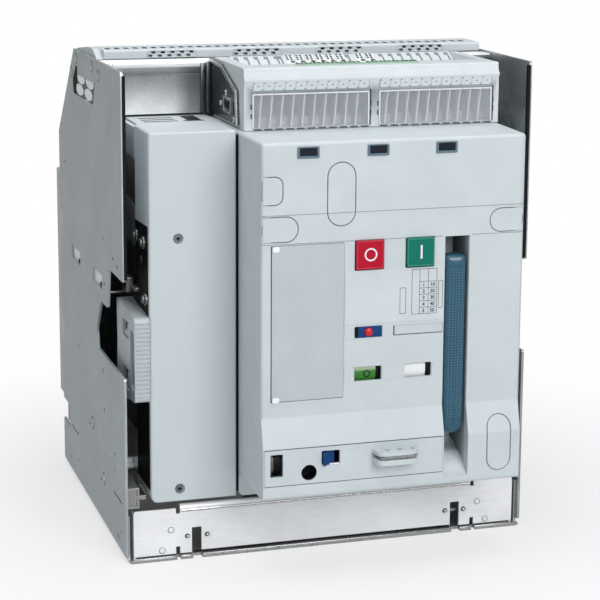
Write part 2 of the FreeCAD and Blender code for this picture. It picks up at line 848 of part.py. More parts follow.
def block_bracket(side):
    """Sheet bracket at one end of the terminal block."""
    bracket = new_body("block_bracket")
    inner = -d.block_left if side < 0 else d.block_right
    low = inner - 2 if side < 0 else inner
    prism(bracket, "x", low, low + 2, loop(
        (back(17), d.beam_bottom, 3), (back(21), d.beam_bottom + 32, 3), (back(78), d.block_top - 3, 4),
        (back(d.beam_front), d.block_top - 3), (back(d.beam_front), d.beam_bottom),
    ))
    carve(bracket, "x", low, low + 2,
          panel(back(52), 424, back(68), 436, 1), disc(back(38), 439, 2), disc(back(80), 428, 2),
          slot(back(32), 421, back(32), 431, 1.6))
    return bracket


def terminal_block():
    """Housing of the auxiliary terminals, with a row of cells behind each flap."""
    block = new_body("terminal_block")
    front, low = back(d.block_front), d.block_bottom
    prism(block, "x", -d.block_left, d.block_right, loop(
        (front, low), (front, d.block_top - 13.5), (front - 1.5, d.block_top - 12.5),
        (front - 1.5, d.block_top - 9.5), (front + 1, d.block_top - 8), (front + 2, d.block_top, 2),
        (back(d.block_rear), d.block_top), (back(d.block_rear), low),
    ))
    pitch = d.bay_width / 11
    bays = []
    for bay in range(2):
        left = -d.bay_left + (d.bay_width + d.bay_gap) * bay
        bays.append(panel(left, d.bay_sill, left + d.bay_width, d.bay_sill + d.bay_height))
    carve(block, "y", front, front + d.bay_depth_in, *bays)
    shelf = d.block_top - 7
    carve(block, "z", shelf, d.block_top, panel(
        -d.block_left + 12, back(34), d.block_right - 10, back(d.block_rear) - 6))
    comb = prism(block, "z", shelf - 1, d.block_top, panel(
        -d.block_left + 14, back(34), -d.block_left + 15.5, back(d.block_rear) - 6))
    row(block, comb, pitch * 4, 5)
    comb = prism(block, "z", shelf - 1, d.block_top, panel(
        d.block_right - 84, back(34), d.block_right - 82.5, back(d.block_rear) - 6))
    row(block, comb, pitch * 6, 7)
    return block


def terminal_strip(bay):
    """Terminals at the back of one bay, with a rib between each pair of neighbours."""
    strip = new_body("terminal_strip")
    left = -d.bay_left + (d.bay_width + d.bay_gap) * bay
    rear = back(d.block_front + d.bay_depth_in)
    low, high = d.bay_sill, d.bay_sill + d.bay_height - 2
    prism(strip, "x", left + 0.3, left + d.bay_width - 0.3, loop(
        (rear - 22, low), (rear, low), (rear, high), (rear - 10, high), (rear - 10, low + 14), (rear - 22, low + 8)))
    pitch = d.bay_width / 11
    rib = prism(strip, "y", rear - 32, rear, panel(left + pitch - 0.6, low, left + pitch + 0.6, high))
    row(strip, rib, pitch * 9, 10)
    return strip


def terminal_module(x):
    """Plug-in screw terminal on top of the block."""
    module = new_body("terminal_module")
    shelf = d.block_top - 7
    low, high = back(46), back(100)
    prism(module, "x", x, x + 9, loop(
        (low, shelf), (low, shelf + 5), (low + 12, shelf + 8), (high - 12, shelf + 8), (high, shelf + 5),
        (high, shelf),
    ))
    screws = [disc(x + 4.5, low + 18, 2), disc(x + 4.5, high - 18, 2)]
    carve(module, "z", shelf + 6, shelf + 8, *screws)
    carve(module, "y", low, low + 8, panel(x + 2, shelf + 1, x + 7, shelf + 4))
    return module


def flap(name, left):
    """Clear flap over a row of terminals, hinged along its top edge."""
    plate = new_body(name)
    gap = d.slide_gap
    low = back(d.block_front) + gap
    prism(plate, "y", low, low + d.flap_thick, panel(
        left + gap, d.bay_sill + gap, left + d.bay_width - gap, d.bay_sill + d.bay_height - gap, 1))
    return plate


def racking_nut():
    """Threaded post on the pan that the racking screw pulls against."""
    post = new_body("racking_nut")
    prism(post, "y", back(104), back(122), loop(
        (-d.crank_x - 20, d.pan_sheet), (-d.crank_x + 20, d.pan_sheet), (-d.crank_x + 20, d.pan_sheet + 6, 2),
        (-d.crank_x + 9, 24, 5), (-d.crank_x + 9, d.housing_bottom - 1.5), (-d.crank_x - 9, d.housing_bottom - 1.5),
        (-d.crank_x - 9, 24, 5), (-d.crank_x - 20, d.pan_sheet + 6, 2),
    ))
    carve(post, "y", back(104), back(122), disc(-d.crank_x, d.crank_z, d.screw_radius + d.running_gap))
    return post


# Moving part

def carriage():
    """Sheet trough under the poles, slotted for the racking nut."""
    trough = new_body("carriage")
    half, wall = HOUSING_HALF, d.carriage_sheet
    near, far = back(d.housing_front), back(d.housing_rear)
    prism(trough, "x", -half, half, panel(near, d.carriage_bottom, far, d.housing_bottom))
    carve(trough, "z", d.carriage_bottom + wall, d.housing_bottom, panel(
        -half + wall, near + wall, half - wall, far + 1))
    carve(trough, "z", d.carriage_bottom, d.carriage_bottom + wall, panel(
        -d.crank_x - 14, near + 34, -d.crank_x + 14, far + 1))
    carve(trough, "y", near, near + wall, disc(-d.crank_x, d.crank_z, d.spindle_radius + d.running_gap))
    return trough


def carriage_foot(side, reach):
    """Block on the side of the carriage that stands on the extension rail."""
    low = d.rail_bottom + d.rail_height / 2 + d.rail_web / 2 + d.slide_gap
    ends = sorted((HOUSING_HALF * side, (HOUSING_HALF + 9) * side))
    foot = new_body("carriage_foot")
    prism(foot, "x", ends[0], ends[1], loop(
        (back(reach), low, 3), (back(reach) + 22, low, 3), (back(reach) + 16, low + 14, 2), (back(reach) + 6, low + 14, 2)))
    return foot


def pole_housing():
    """Moulded housing: four cells, open at the rear, round the main shaft."""
    shell = new_body("pole_housing")
    half, wall = HOUSING_HALF, d.housing_wall
    near, far = back(d.housing_front), back(d.housing_rear) - d.back_thick
    prism(shell, "z", d.housing_bottom, d.housing_top, panel(-half, near, half, far))
    cells = []
    for x in POLE_X:
        reach = d.pole_pitch / 2 - wall
        cells.append(panel(x - reach, d.housing_bottom + 6, x + reach, d.housing_top - 5, 3))
    carve(shell, "y", near + 6, far, *cells)
    bore = disc(back(d.shaft_y), d.shaft_z, d.shaft_radius + d.running_gap)
    carve(shell, "x", -half + 3, half - 3, bore)
    vents = []
    for x in POLE_X:
        vents.append(panel(x - 32, near + 20, x + 16, near + 25))
        vents.append(panel(x - 32, near + 30, x + 16, near + 35))
        vents.append(panel(x + 22, near + 20, x + 30, near + 60))
    carve(shell, "z", d.housing_top - 5, d.housing_top, *vents)
    for side in SIDES:
        ends = sorted((half * side, (half - 1.5) * side))
        carve(shell, "x", ends[0], ends[1],
              panel(near + 8, d.housing_top - 70, near + 60, d.housing_top - 12, 3),
              panel(near + 72, d.housing_top - 70, near + 150, d.housing_top - 12, 3),
              panel(near + 8, 250, near + 60, 325, 3))
    return shell


def housing_back():
    """Rear plate of the housing, with a throat for every stub."""
    plate = new_body("housing_back")
    far = back(d.housing_rear)
    prism(plate, "y", far - d.back_thick, far, panel(-HOUSING_HALF, d.housing_bottom, HOUSING_HALF, d.housing_top))
    gap = d.slide_gap
    half_w, half_h = d.blade_width / 2 + gap, d.blade_thick / 2 + 2 * gap
    throats = [panel(x - half_w, level - half_h, x + half_w, level + half_h) for x in POLE_X for level in LEVELS]
    carve(plate, "y", far - d.back_thick, far, *throats)
    return plate


def stub(name, x, level, reach):
    """Copper bar from a contact inside the cell to its cluster of fingers."""
    bar = new_body(name)
    half = d.blade_thick / 2 + d.slide_gap
    closed_face = back(d.shaft_y) + d.arm_thick / 2 + d.fit_gap
    end = back(d.housing_rear + 16)
    if level is LEVELS[1]:
        profile = loop(
            (closed_face, level - half - 14, 3), (closed_face + 9, level - half - 14), (closed_face + 9, level - half),
            (end, level - half), (end, level + half), (closed_face, level + half))
    else:
        profile = panel(back(reach), level - half, end, level + half)
    prism(bar, "x", x - d.blade_width / 2, x + d.blade_width / 2, profile)
    return bar


def finger_row(name, x, level, side):
    """One side of a cluster: six sprung fingers on a common strip."""
    fingers = new_body(name)
    inner = level + (d.blade_thick / 2 + d.slide_gap) * side
    start, end = back(d.housing_rear + 2), back(d.moulding_web - 2)
    prism(fingers, "x", x - d.blade_width / 2, x + d.blade_width / 2, loop(
        (start, inner), (start, inner + 8 * side), (end - 8, inner + 8 * side), (end, inner + 5 * side),
        (end, inner + 2.5 * side), (end - 6, inner), (end - 14, inner), (end - 18, inner + 1.5 * side),
        (start + 16, inner + 1.5 * side), (start + 13, inner),
    ))
    low, high = sorted((inner - side, inner + 9 * side))
    pitch = (d.blade_width + 1.5) / 6
    gap = carve(fingers, "z", low, high, panel(
        x - d.blade_width / 2 + pitch - 1.5, start + 12, x - d.blade_width / 2 + pitch, end + 1))
    row(fingers, gap, pitch * 4, 5)
    return fingers


def cluster_cage(name, x, level):
    """Sheet collar that holds the two rows of fingers on a stub."""
    cage = new_body(name)
    near = back(d.housing_rear + 5)
    half_w, half_h = d.blade_width / 2 + 1.5, d.blade_thick / 2 + d.slide_gap + 8 + 1.5
    inner_w, inner_h = half_w - 1.5, half_h - 1.5
    prism(cage, "y", near, near + 7,
          panel(x - half_w, level - half_h, x + half_w, level + half_h, 2),
          panel(x - inner_w, level - inner_h, x + inner_w, level + inner_h))
    return cage


def arc_chute(name, x):
    """Stack of splitter plates between two insulating cheeks."""
    chute = new_body(name)
    near, far = back(d.housing_front) + 14, back(d.housing_rear) - 30
    low, high = d.upper_terminal + 36, d.housing_top - 7
    half = d.pole_pitch / 2 - d.housing_wall - 3
    prism(chute, "z", low, high, panel(x - half, near, x + half, far))
    gap = carve(chute, "z", low, high - 4, panel(x - half + 3, near + 2.5, x + half - 3, near + 11))
    column(chute, gap, far - near - 13, 11)
    return chute


def chute_seat(name, x):
    """Pair of ledges inside the cell that carry the chute."""
    near, far = back(d.housing_front) + 6, back(d.housing_rear) - d.back_thick
    low = d.upper_terminal + 31
    ledges = new_body(name)
    reach = d.pole_pitch / 2 - d.housing_wall
    prism(ledges, "z", low, low + 5, panel(x - reach, near, x + reach, far))
    carve(ledges, "z", low, low + 5, panel(x - reach + 6, near + 12, x + reach - 6, far - 12))
    return ledges


def main_shaft():
    """Shaft through all four cells."""
    shaft = new_body("main_shaft")
    reach = HOUSING_HALF - 3 - d.fit_gap
    prism(shaft, "x", -reach, reach, disc(back(d.shaft_y), d.shaft_z, d.shaft_radius))
    return shaft


def moving_contact(name, x):
    """Clamped arm with a contact tip, drawn closed and turned to the open angle."""
    arm = new_body(name)
    ring = d.shaft_radius + 5
    half = d.arm_thick / 2
    prism(arm, "x", x - 18, x + 18, disc(0, 0, ring), disc(0, 0, d.shaft_radius + d.clamp_gap))
    prism(arm, "x", x - 14, x + 14, loop(
        (-half, d.shaft_radius + 2), (half, d.shaft_radius + 2), (half, d.arm_radius + 6, 2),
        (half - 3, d.arm_radius + 10, 2), (-half + 1, d.arm_radius + 10, 3), (-half, d.arm_radius, 4)))
    arm.Placement = FreeCAD.Placement(
        FreeCAD.Vector(0, float(back(d.shaft_y)), float(d.shaft_z)),
        FreeCAD.Rotation(FreeCAD.Vector(1, 0, 0), float(d.open_angle)))
    place(arm, 0, back(d.shaft_y), d.shaft_z)
    bind(arm, "Placement.Rotation.Angle", d.open_angle)
    return arm


def mechanism_cheek(x):
    """Side cheek of the spring mechanism."""
    cheek = new_body("mechanism_cheek")
    prism(cheek, "x", x, x + 3, loop(
        (back(d.housing_front), 128), (back(d.housing_front), 330, 6), (back(-66), 330, 8),
        (back(-66), 122, 8), (back(-20), 122, 8)))
    carve(cheek, "x", x, x + 3,
          disc(back(-d.handle_y), d.handle_z, d.charge_radius + d.running_gap),
          disc(back(-d.flag_axis_y), d.flag_axis_z, 2 + d.running_gap),
          panel(back(0), 160, back(44), 300, 8), panel(back(-40), 225, back(-14), 300, 8))
    return cheek


def charging_shaft():
    """Shaft turned by the handle, with its ratchet wheel and closing cam."""
    y, z = back(-d.handle_y), d.handle_z
    shaft = rod("charging_rod", "x", (-9, y, z), d.well_right + 7.5, d.charge_radius)
    wheel = new_body("ratchet_wheel_body")
    teeth = 16
    corners = []
    for tooth in range(teeth):
        angle = 2 * math.pi * tooth / teeth
        corners.append((20 * math.cos(angle), 20 * math.sin(angle)))
        corners.append((16.5 * math.cos(angle + 0.05), 16.5 * math.sin(angle + 0.05)))
    prism(wheel, "x", 60, 66, loop(*corners))
    place(wheel, 0, y, z)
    cam = new_body("closing_cam_body")
    prism(cam, "x", 34, 42, loop((-11, -10, 8), (11, -10, 8), (13, 4, 6), (4, 17, 5), (-8, 13, 6)))
    place(cam, 0, y, z)
    return fuse("charging_shaft", shaft, wheel, cam)


def charging_handle():
    """Round-ended lever that pulls out and down on the charging shaft."""
    lever = new_body("charging_handle")
    left = d.well_left + d.handle_gap
    right = left + d.handle_width
    radius = (right - left) / 2 - 0.2
    face, rear = back(-d.handle_face), back(-d.handle_back)
    prism(lever, "y", face, rear, panel(left, d.handle_foot, right, d.handle_top, radius))
    y, z = back(-d.handle_y), d.handle_z
    prism(lever, "x", left, right, loop(
        (rear - 1, z - 10), (y, z - 12, 5), (y + 12, z, 9), (y, z + 12, 5), (rear - 1, z + 40)))
    carve(lever, "x", left, right, disc(y, z, d.charge_radius + d.running_gap))
    return lever


def front_mask():
    """Moulded front of the three right-hand poles, with the handle's well and the control openings."""
    mask = new_body("front_mask")
    left, right, face = -d.mask_left, d.mask_right, back(-d.mask_reach)
    rear = back(d.housing_front)
    wall = d.mask_wall
    prism(mask, "z", d.mask_bottom, d.mask_top, loop(
        (left, rear), (left, face, 3), (right, face, 5), (right + d.mask_flare, FRONT, 60),
        (right + d.mask_flare, rear)))
    chin = back(-d.mask_reach - d.chin_reach)
    prism(mask, "x", left, right - 2, loop(
        (face + 8, d.chin_top), (face, d.chin_top), (chin, d.panel_top, 12), (chin, d.mask_bottom, 3),
        (face + 8, d.mask_bottom)))
    soften(mask, "Fillet", 3, "x", y=face, z=d.mask_top)
    floor = back(-d.well_floor) + wall
    carve(mask, "y", floor, rear, panel(left + wall, d.mask_bottom + wall, right - wall, d.mask_top - wall))
    island_left, island_right = d.well_left - wall, d.well_right + wall
    low, high = d.mask_bottom + wall, d.mask_top - wall
    carve(mask, "y", face + wall, floor, loop(
        (left + wall, low), (island_left, low), (island_left, d.well_top + wall),
        (island_right, d.well_top + wall), (island_right, low), (right - wall, low),
        (right - wall, high), (left + wall, high)))
    carve(mask, "y", chin + wall, face + wall,
          panel(left + wall, low, island_left, d.panel_top + 3),
          panel(island_right, low, right - wall - 2, d.panel_top + 3))
    well_back = back(-d.well_floor)
    carve(mask, "x", d.well_left, d.well_right, loop(
        (well_back, d.well_top, 6), (chin - 5, d.well_top), (chin - 5, d.ramp_bottom), (chin, d.ramp_bottom),
        (chin + 24, d.well_bottom, 12), (well_back, d.well_bottom, 6)))
    carve(mask, "x", island_left - 1, d.well_left,
          disc(back(-d.handle_y), d.handle_z, d.charge_radius + 1))
    carve(mask, "y", chin - 1, chin + wall, panel(
        -d.panel_left, d.panel_bottom - d.slide_gap, island_left + 2, d.panel_top + d.slide_gap))
    gap = d.fit_gap
    openings = []
    for index in range(2):
        x = -d.control_left + d.control_step * index
        openings.append(panel(
            x - gap, d.button_bottom - gap, x + d.control_width + gap,
            d.button_bottom + d.control_width + gap, 1.5))
        openings.append(panel(x, d.flag_bottom, x + d.control_width, d.flag_bottom + d.flag_height, 1))
    openings.append(panel(
        -d.control_left, d.reset_bottom, -d.control_left + d.control_width, d.reset_bottom + d.reset_height, 1))
    for index in range(3):
        x = -d.latch_first + d.latch_step * index
        openings.append(panel(x, d.latch_bottom, x + d.latch_width, d.latch_bottom + d.latch_height, 1))
    carve(mask, "y", face - 1, face + wall, *openings)
    carve(mask, "y", face - 1, face + d.blank_thick - 0.6,
          panel(-d.blank_left, d.blank_bottom, -d.blank_right, d.blank_top, 2))
    carve(mask, "y", face - 1, face + 1, panel(
        -d.control_left + d.control_step - 11.5, d.reset_bottom, -d.control_left + d.control_step + 37.5,
        d.reset_bottom + d.reset_height - 1, 1))
    return mask


def lower_panel():
    """Racking panel in the chin of the mask, with the padlock hasp moulded on."""
    plate = new_body("racking_panel")
    face = back(-d.mask_reach - d.chin_reach)
    wall = d.mask_wall
    prism(plate, "y", face, face + wall, panel(
        -d.panel_left + d.slide_gap, d.panel_bottom, d.well_left - 1 - d.slide_gap, d.panel_top))
    prism(plate, "y", face + wall, face + 16, disc(-d.crank_x, d.crank_z, d.crank_radius + 2))
    left, right = d.hasp_left, d.hasp_left + d.hasp_width
    reach = face - d.hasp_reach
    lips = loop(
        (left, face + 1), (left + 2, reach, 8), (right - 4, reach, 12), (right + 1, face + 1))
    prism(plate, "z", d.hasp_slot_high, d.hasp_top, lips)
    prism(plate, "z", d.hasp_bottom, d.hasp_slot_low, lips)
    holes = [disc(d.padlock_first + d.padlock_pitch * index, back(-d.padlock_y), d.padlock_radius)
             for index in range(3)]
    carve(plate, "z", d.hasp_bottom, d.hasp_top, *holes)
    carve(plate, "y", face, face + wall,
          panel(-d.drum_left, d.drum_bottom, -d.drum_left + d.drum_width, d.drum_bottom + d.drum_height, 1),
          panel(-d.slider_left, d.slider_bottom, -d.slider_left + d.slider_width,
                d.slider_bottom + d.slider_height, 1),
          panel(left + 3, d.hasp_slot_low + 0.6, right - 3, d.hasp_slot_high - 0.6))
    carve(plate, "y", face, face + 16, disc(-d.crank_x, d.crank_z, d.crank_radius))
    return plate


def padlock_leaf():
    """Steel leaf between the lips of the hasp, pulled out to take the padlocks."""
    leaf = new_body("padlock_leaf")
    face = back(-d.mask_reach - d.chin_reach)
    low = (d.hasp_slot_low + d.hasp_slot_high) / 2 - 1
    left, right = d.hasp_left + 4, d.hasp_left + d.hasp_width - 4
    prism(leaf, "z", low, low + 2, panel(left, face - d.hasp_reach + 1.5, right, face + 20, 3))
    slots = []
    for index in range(3):
        x = d.padlock_first + d.padlock_pitch * index
        y = back(-d.padlock_y)
        slots.append(slot(x, y - 0.4, x, y + 12, d.padlock_radius + 0.2))
    carve(leaf, "z", low, low + 2, *slots)
    return leaf


def neutral_cover():
    """Plain moulded front of the neutral pole, with its side cut away low down."""
    cover = new_body("neutral_cover")
    left, right, rear, wall = -d.neutral_left, -d.neutral_right, back(d.housing_front), d.mask_wall
    prism(cover, "y", FRONT, rear, loop(
        (left, d.neutral_bottom, 6), (right, d.neutral_bottom), (right, d.neutral_top, 2), (left, d.neutral_top, 2)))
    soften(cover, "Fillet", 2, "x", y=FRONT, z=d.neutral_top)
    carve(cover, "y", FRONT + wall, rear, panel(
        left + wall, d.neutral_bottom + wall, right - wall, d.neutral_top - wall))
    carve(cover, "x", left, left + wall, loop(
        (FRONT + 7, d.neutral_bottom + 10, 2), (FRONT + 7, d.neutral_cut - 2), (rear, d.neutral_cut - 10),
        (rear, d.neutral_bottom + 10)))
    screws = [disc(left + 27, 310.5, 5), disc(left + 27, 69.5, 5)]
    carve(cover, "y", FRONT, FRONT + 2, *screws)
    return cover


def button(name, index):
    """Push button with a stem that reaches its latch."""
    cap = new_body(name)
    low_x = -d.control_left + d.control_step * index
    low_z = d.button_bottom
    face = back(-d.mask_reach)
    size = d.control_width
    prism(cap, "y", face - d.button_proud, face + d.mask_wall, panel(
        low_x, low_z, low_x + size, low_z + size, 1.2))
    prism(cap, "y", face + d.mask_wall, face + d.mask_wall + 2, panel(
        low_x, low_z - 2, low_x + size, low_z + size + 2))
    prism(cap, "y", face + d.mask_wall + 2, face + 40, panel(
        low_x + 9, low_z + 9, low_x + size - 9, low_z + size - 9))
    return cap


def button_frame():
    """Carrier plate behind the mask that guides both stems and the reset pin."""
    frame = new_body("button_carrier")
    face = back(-d.mask_reach)
    near = face + 22
    prism(frame, "y", near, near + 4, panel(-3, 215, 78.5, 325, 4))
    guides = []
    for index in range(2):
        x = -d.control_left + d.control_step * index + 9
        guides.append(panel(
            x - 0.3, d.button_bottom + 8.7, x + d.control_width - 17.7, d.button_bottom + d.control_width - 8.7))
    reset_x, reset_z = -d.control_left + d.control_width / 2, d.reset_bottom + d.reset_height / 2
    guides.append(disc(reset_x, reset_z, 2.5 + d.slide_gap))
    guides.append(panel(24, 235, 48, 285, 5))
    carve(frame, "y", near, near + 4, *guides)
    return frame


def reset_bezel():
    """Blue bezel round the reset button."""
    face = back(-d.mask_reach)
    bezel = new_body("reset_bezel")
    low_x, low_z = -d.control_left, d.reset_bottom
    prism(bezel, "y", face - 0.6, face + d.mask_wall, panel(
        low_x + 0.2, low_z + 0.2, low_x + d.control_width - 0.2, low_z + d.reset_height - 0.2, 0.8))
    centre = (low_x + d.control_width / 2, low_z + d.reset_height / 2)
    carve(bezel, "y", face - 0.6, face + d.mask_wall, disc(*centre, d.reset_radius + d.slide_gap))
    return bezel


def reset_button():
    face = back(-d.mask_reach)
    pin = new_body("reset_button")
    x, z = -d.control_left + d.control_width / 2, d.reset_bottom + d.reset_height / 2
    prism(pin, "y", face - 1.5, face + 6, disc(x, z, d.reset_radius))
    prism(pin, "y", face + 6, face + 34, disc(x, z, 2.5))
    return pin


def flag(name, index):
    """Indicator drum behind its window, turning on the flag pin."""
    x = -d.control_left + d.control_step * index + 0.7
    y, z = back(-d.flag_axis_y), d.flag_axis_z
    width = d.control_width - 1.4
    drum = new_body(name)
    radius = d.flag_radius
    prism(drum, "x", x, x + width, disc(0, 0, radius), disc(0, 0, radius - 2.5))
    prism(drum, "x", x, x + 3, disc(0, 0, radius - 2))
    prism(drum, "x", x, x + 10, disc(0, 0, 5))
    carve(drum, "x", x, x + width, loop((radius * 0.35, -radius - 1), (radius + 1, -radius - 1),
                                        (radius + 1, radius + 1), (radius * 0.35, radius + 1)))
    carve(drum, "x", x, x + width, disc(0, 0, 2 + d.running_gap))
    place(drum, 0, y, z)
    return drum


def position_drum():
    """Three-place drum behind the position window."""
    x = -d.drum_left + 0.5
    drum = new_body("position_drum")
    width = d.drum_width - 1
    prism(drum, "x", x, x + width, disc(0, 0, 14))
    carve(drum, "x", x, x + width, disc(0, 0, 2 + d.running_gap))
    place(drum, 0, back(-d.mask_reach - d.chin_reach) + 18.5, d.drum_bottom + d.drum_height / 2)
    return drum


def drum_bracket():
    """Ears and pin that carry the position drum behind the panel."""
    face = back(-d.mask_reach - d.chin_reach)
    y, z = face + 18.5, d.drum_bottom + d.drum_height / 2
    ear = new_body("drum_ear")
    right = -d.drum_left + d.drum_width
    prism(ear, "x", right, right + 2, panel(face + d.mask_wall, z - 6, y + 8, z + 6, 2))
    pin = rod("drum_pin_rod", "x", (-d.drum_left - 1.5, y, z), d.drum_width + 2.5, 2)
    return fuse("drum_bracket", ear, pin)


def crank_slider():
    """Blue slider beside the crank hole."""
    tab = new_body("crank_slider")
    face = back(-d.mask_reach - d.chin_reach)
    left, low = -d.slider_left, d.slider_bottom
    prism(tab, "y", face + d.mask_wall + 0.3, face + d.mask_wall + 2.3, panel(
        left - 1.5, low - 3, left + 13, low + d.slider_height + 3, 1))
    prism(tab, "y", face - 0.5, face + d.mask_wall + 1, panel(left + 0.8, low + 0.6, left + 7.5, low + 12.6, 1))
    prism(tab, "y", face - 4, face, panel(left + 0.8, low + 0.6, left + 3.6, low + 12.6, 0.6))
    return tab


def slider_keeper():
    """Two ledges behind the panel that keep the slider in."""
    face = back(-d.mask_reach - d.chin_reach) + d.mask_wall
    left, low = -d.slider_left, d.slider_bottom
    keepers = []
    for name, edge in (("keeper_low", low - 5.5), ("keeper_high", low + d.slider_height + 3.3)):
        keepers.append(box(name, (left - 1.5, left + 24), (face, face + 3), (edge, edge + 2.2)))
    return group("slider_keeper", keepers)


def racking_spindle():
    """Racking screw: square end in the crank socket, thread in the nut."""
    screw = new_body("racking_spindle")
    x, z = -d.crank_x, d.crank_z
    prism(screw, "y", back(-62), back(-44), panel(x - 3.5, z - 3.5, x + 3.5, z + 3.5))
    prism(screw, "y", back(-46), back(101), disc(x, z, d.spindle_radius))
    prism(screw, "y", back(100), back(160), disc(x, z, d.screw_radius))
    return screw


def blank_cover():
    """Blank plate over the place of a trip unit."""
    face, gap = back(-d.mask_reach), d.slide_gap
    plate = new_body("blank_cover")
    prism(plate, "y", face - 0.6, face - 0.6 + d.blank_thick, panel(
        -d.blank_left + gap, d.blank_bottom + gap, -d.blank_right - gap, d.blank_top - gap, 2))
    return plate


def cover_latch(index):
    """Snap latch in the top of the mask, held by a flange behind its wall."""
    face, gap = back(-d.mask_reach), d.slide_gap
    low_x = -d.latch_first + d.latch_step * index
    low_z = d.latch_bottom
    latch = new_body("cover_latch")
    prism(latch, "y", face - 0.8, face + d.mask_wall, panel(
        low_x + gap, low_z + gap, low_x + d.latch_width - gap, low_z + d.latch_height - gap, 1))
    prism(latch, "y", face + d.mask_wall, face + d.mask_wall + 3, panel(
        low_x - 3, low_z - 3, low_x + d.latch_width + 3, low_z + d.latch_height - 0.5, 1))
    return latch


def grip(name, side):
    """Side grip for pulling the moving part, ribbed in front with a finger slot in its side."""
    handle = new_body(name)
    ends = sorted((HOUSING_HALF * side, (HOUSING_HALF + d.grip_thick) * side))
    far = back(d.grip_depth)
    prism(handle, "x", ends[0], ends[1], loop(
        (FRONT, d.grip_front_bottom, 5), (FRONT, d.grip_front_top, 5), (back(8), d.grip_top - 4, 8),
        (far, d.grip_top, 4), (far - 3, d.grip_top - 40, 20), (far, d.grip_bottom + 30, 20),
        (far - 2, d.grip_bottom, 8), (back(14), d.grip_bottom + 10, 8)))
    outer = ends[0] if side < 0 else ends[1]
    skin = sorted((outer, outer - 9 * side))
    carve(handle, "x", skin[0], skin[1], slot(back(11.5), 173.5, back(11.5), 216, 8))
    shallow = sorted((outer, outer - 4 * side))
    carve(handle, "x", shallow[0], shallow[1],
          panel(back(27), 210, back(54), 227, 2), panel(back(27), 161, back(54), 181, 2))
    rib = carve(handle, "y", FRONT, FRONT + 0.8, panel(
        ends[0] + 1, d.grip_front_bottom + 4.5, ends[1] - 1, d.grip_front_bottom + 6.1))
    column(handle, rib, d.grip_front_top - d.grip_front_bottom - 10.6, 18)
    return handle


def fasteners(name, radius, height, spots):
    """Round heads on the outsides of the side plates."""
    heads = []
    for side in SIDES:
        for reach, level in spots:
            x = d.plate_span / 2 * side if side > 0 else -d.plate_span / 2 - height
            heads.append(rod(f"{name}_head", "x", (x, back(reach), level), height, radius))
    return group(name, heads)


NODES = [
    side_plate("left_side_plate", -1),
    side_plate("right_side_plate", 1),
    base_pan(),
    tray_front(),
    group("rail_guides", [rail_guide(side) for side in SIDES]),
    extension_rail("left_rail", -1),
    extension_rail("right_rail", 1),
    rear_moulding(),
    group("upper_fixed_contacts", [fixed_contact("upper_fixed_contact", x, LEVELS[1]) for x in POLE_X]),
    group("lower_fixed_contacts", [fixed_contact("lower_fixed_contact", x, LEVELS[0]) for x in POLE_X]),
    shutter("upper_shutter", LEVELS[1]),
    shutter("lower_shutter", LEVELS[0]),
    group("shutter_guides", [shutter_guide(side) for side in SIDES]),
    hood(),
    cross_member(),
    group("block_brackets", [block_bracket(side) for side in SIDES]),
    terminal_block(),
    group("terminal_strips", [terminal_strip(bay) for bay in range(2)]),
    group("terminal_modules", [terminal_module(x) for x in (-26, -16, -6, 4, 14, 24, 44, 54)]),
    flap("left_flap", -d.bay_left),
    flap("right_flap", -d.bay_left + d.bay_width + d.bay_gap),
    racking_nut(),
    fasteners("plate_rivets", 5, 1.2, ((218.5, 457), (247, 441), (135, 457), (104, 451.5))),
    fasteners("plate_screws", 6, 2.5, ((160.5, 92.5), (104, 51))),
    carriage(),
    group("carriage_feet", [carriage_foot(side, reach) for side in SIDES for reach in (78, 206)]),
    pole_housing(),
    housing_back(),
    group("upper_stubs", [stub("upper_stub", x, LEVELS[1], 0) for x in POLE_X]),
    group("lower_stubs", [stub("lower_stub", x, LEVELS[0], 140) for x in POLE_X]),
    group("finger_clusters", [finger_row("fingers", x, level, side)
                              for x in POLE_X for level in LEVELS for side in SIDES]),
    group("cluster_cages", [cluster_cage("cage", x, level) for x in POLE_X for level in LEVELS]),
    group("arc_chutes", [arc_chute("arc_chute", x) for x in POLE_X]),
    group("chute_seats", [chute_seat("chute_seat", x) for x in POLE_X]),
    main_shaft(),
    group("moving_contacts", [moving_contact("moving_contact", x) for x in POLE_X]),
    group("mechanism_cheeks", [mechanism_cheek(-6), mechanism_cheek(78.5)]),
    rod("flag_pin", "x", (-6, back(-d.flag_axis_y), d.flag_axis_z), 87.5, 2),
    charging_shaft(),
    charging_handle(),
    front_mask(),
    lower_panel(),
    padlock_leaf(),
    neutral_cover(),
    blank_cover(),
    group("cover_latches", [cover_latch(index) for index in range(3)]),
    button("off_button", 0),
    button("on_button", 1),
    button_frame(),
    reset_bezel(),
    reset_button(),
    flag("contact_flag", 0),
    flag("charge_flag", 1),
    position_drum(),
    drum_bracket(),
    crank_slider(),
    slider_keeper(),
    racking_spindle(),
    grip("left_grip", -1),
    grip("right_grip", 1),
]

doc.recompute()
for item in doc.Objects:
    faults = [state for state in item.State if state in ("Invalid", "Error")]
    if faults:
        raise RuntimeError(f"{item.Name} is {faults}")
for node in NODES:
    if node.Shape.isNull() or not node.Shape.isValid():
        raise RuntimeError(f"{node.Label} has no valid shape")

os.makedirs("parts", exist_ok=True)
for node in NODES:
    node.Shape.exportStep(f"parts/{node.Label}.step")
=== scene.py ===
"""Looks of the draw-out switch disconnector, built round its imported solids. Metres, in the same frame."""
import json
import math

import bmesh
import bpy
from mathutils import Matrix, Vector

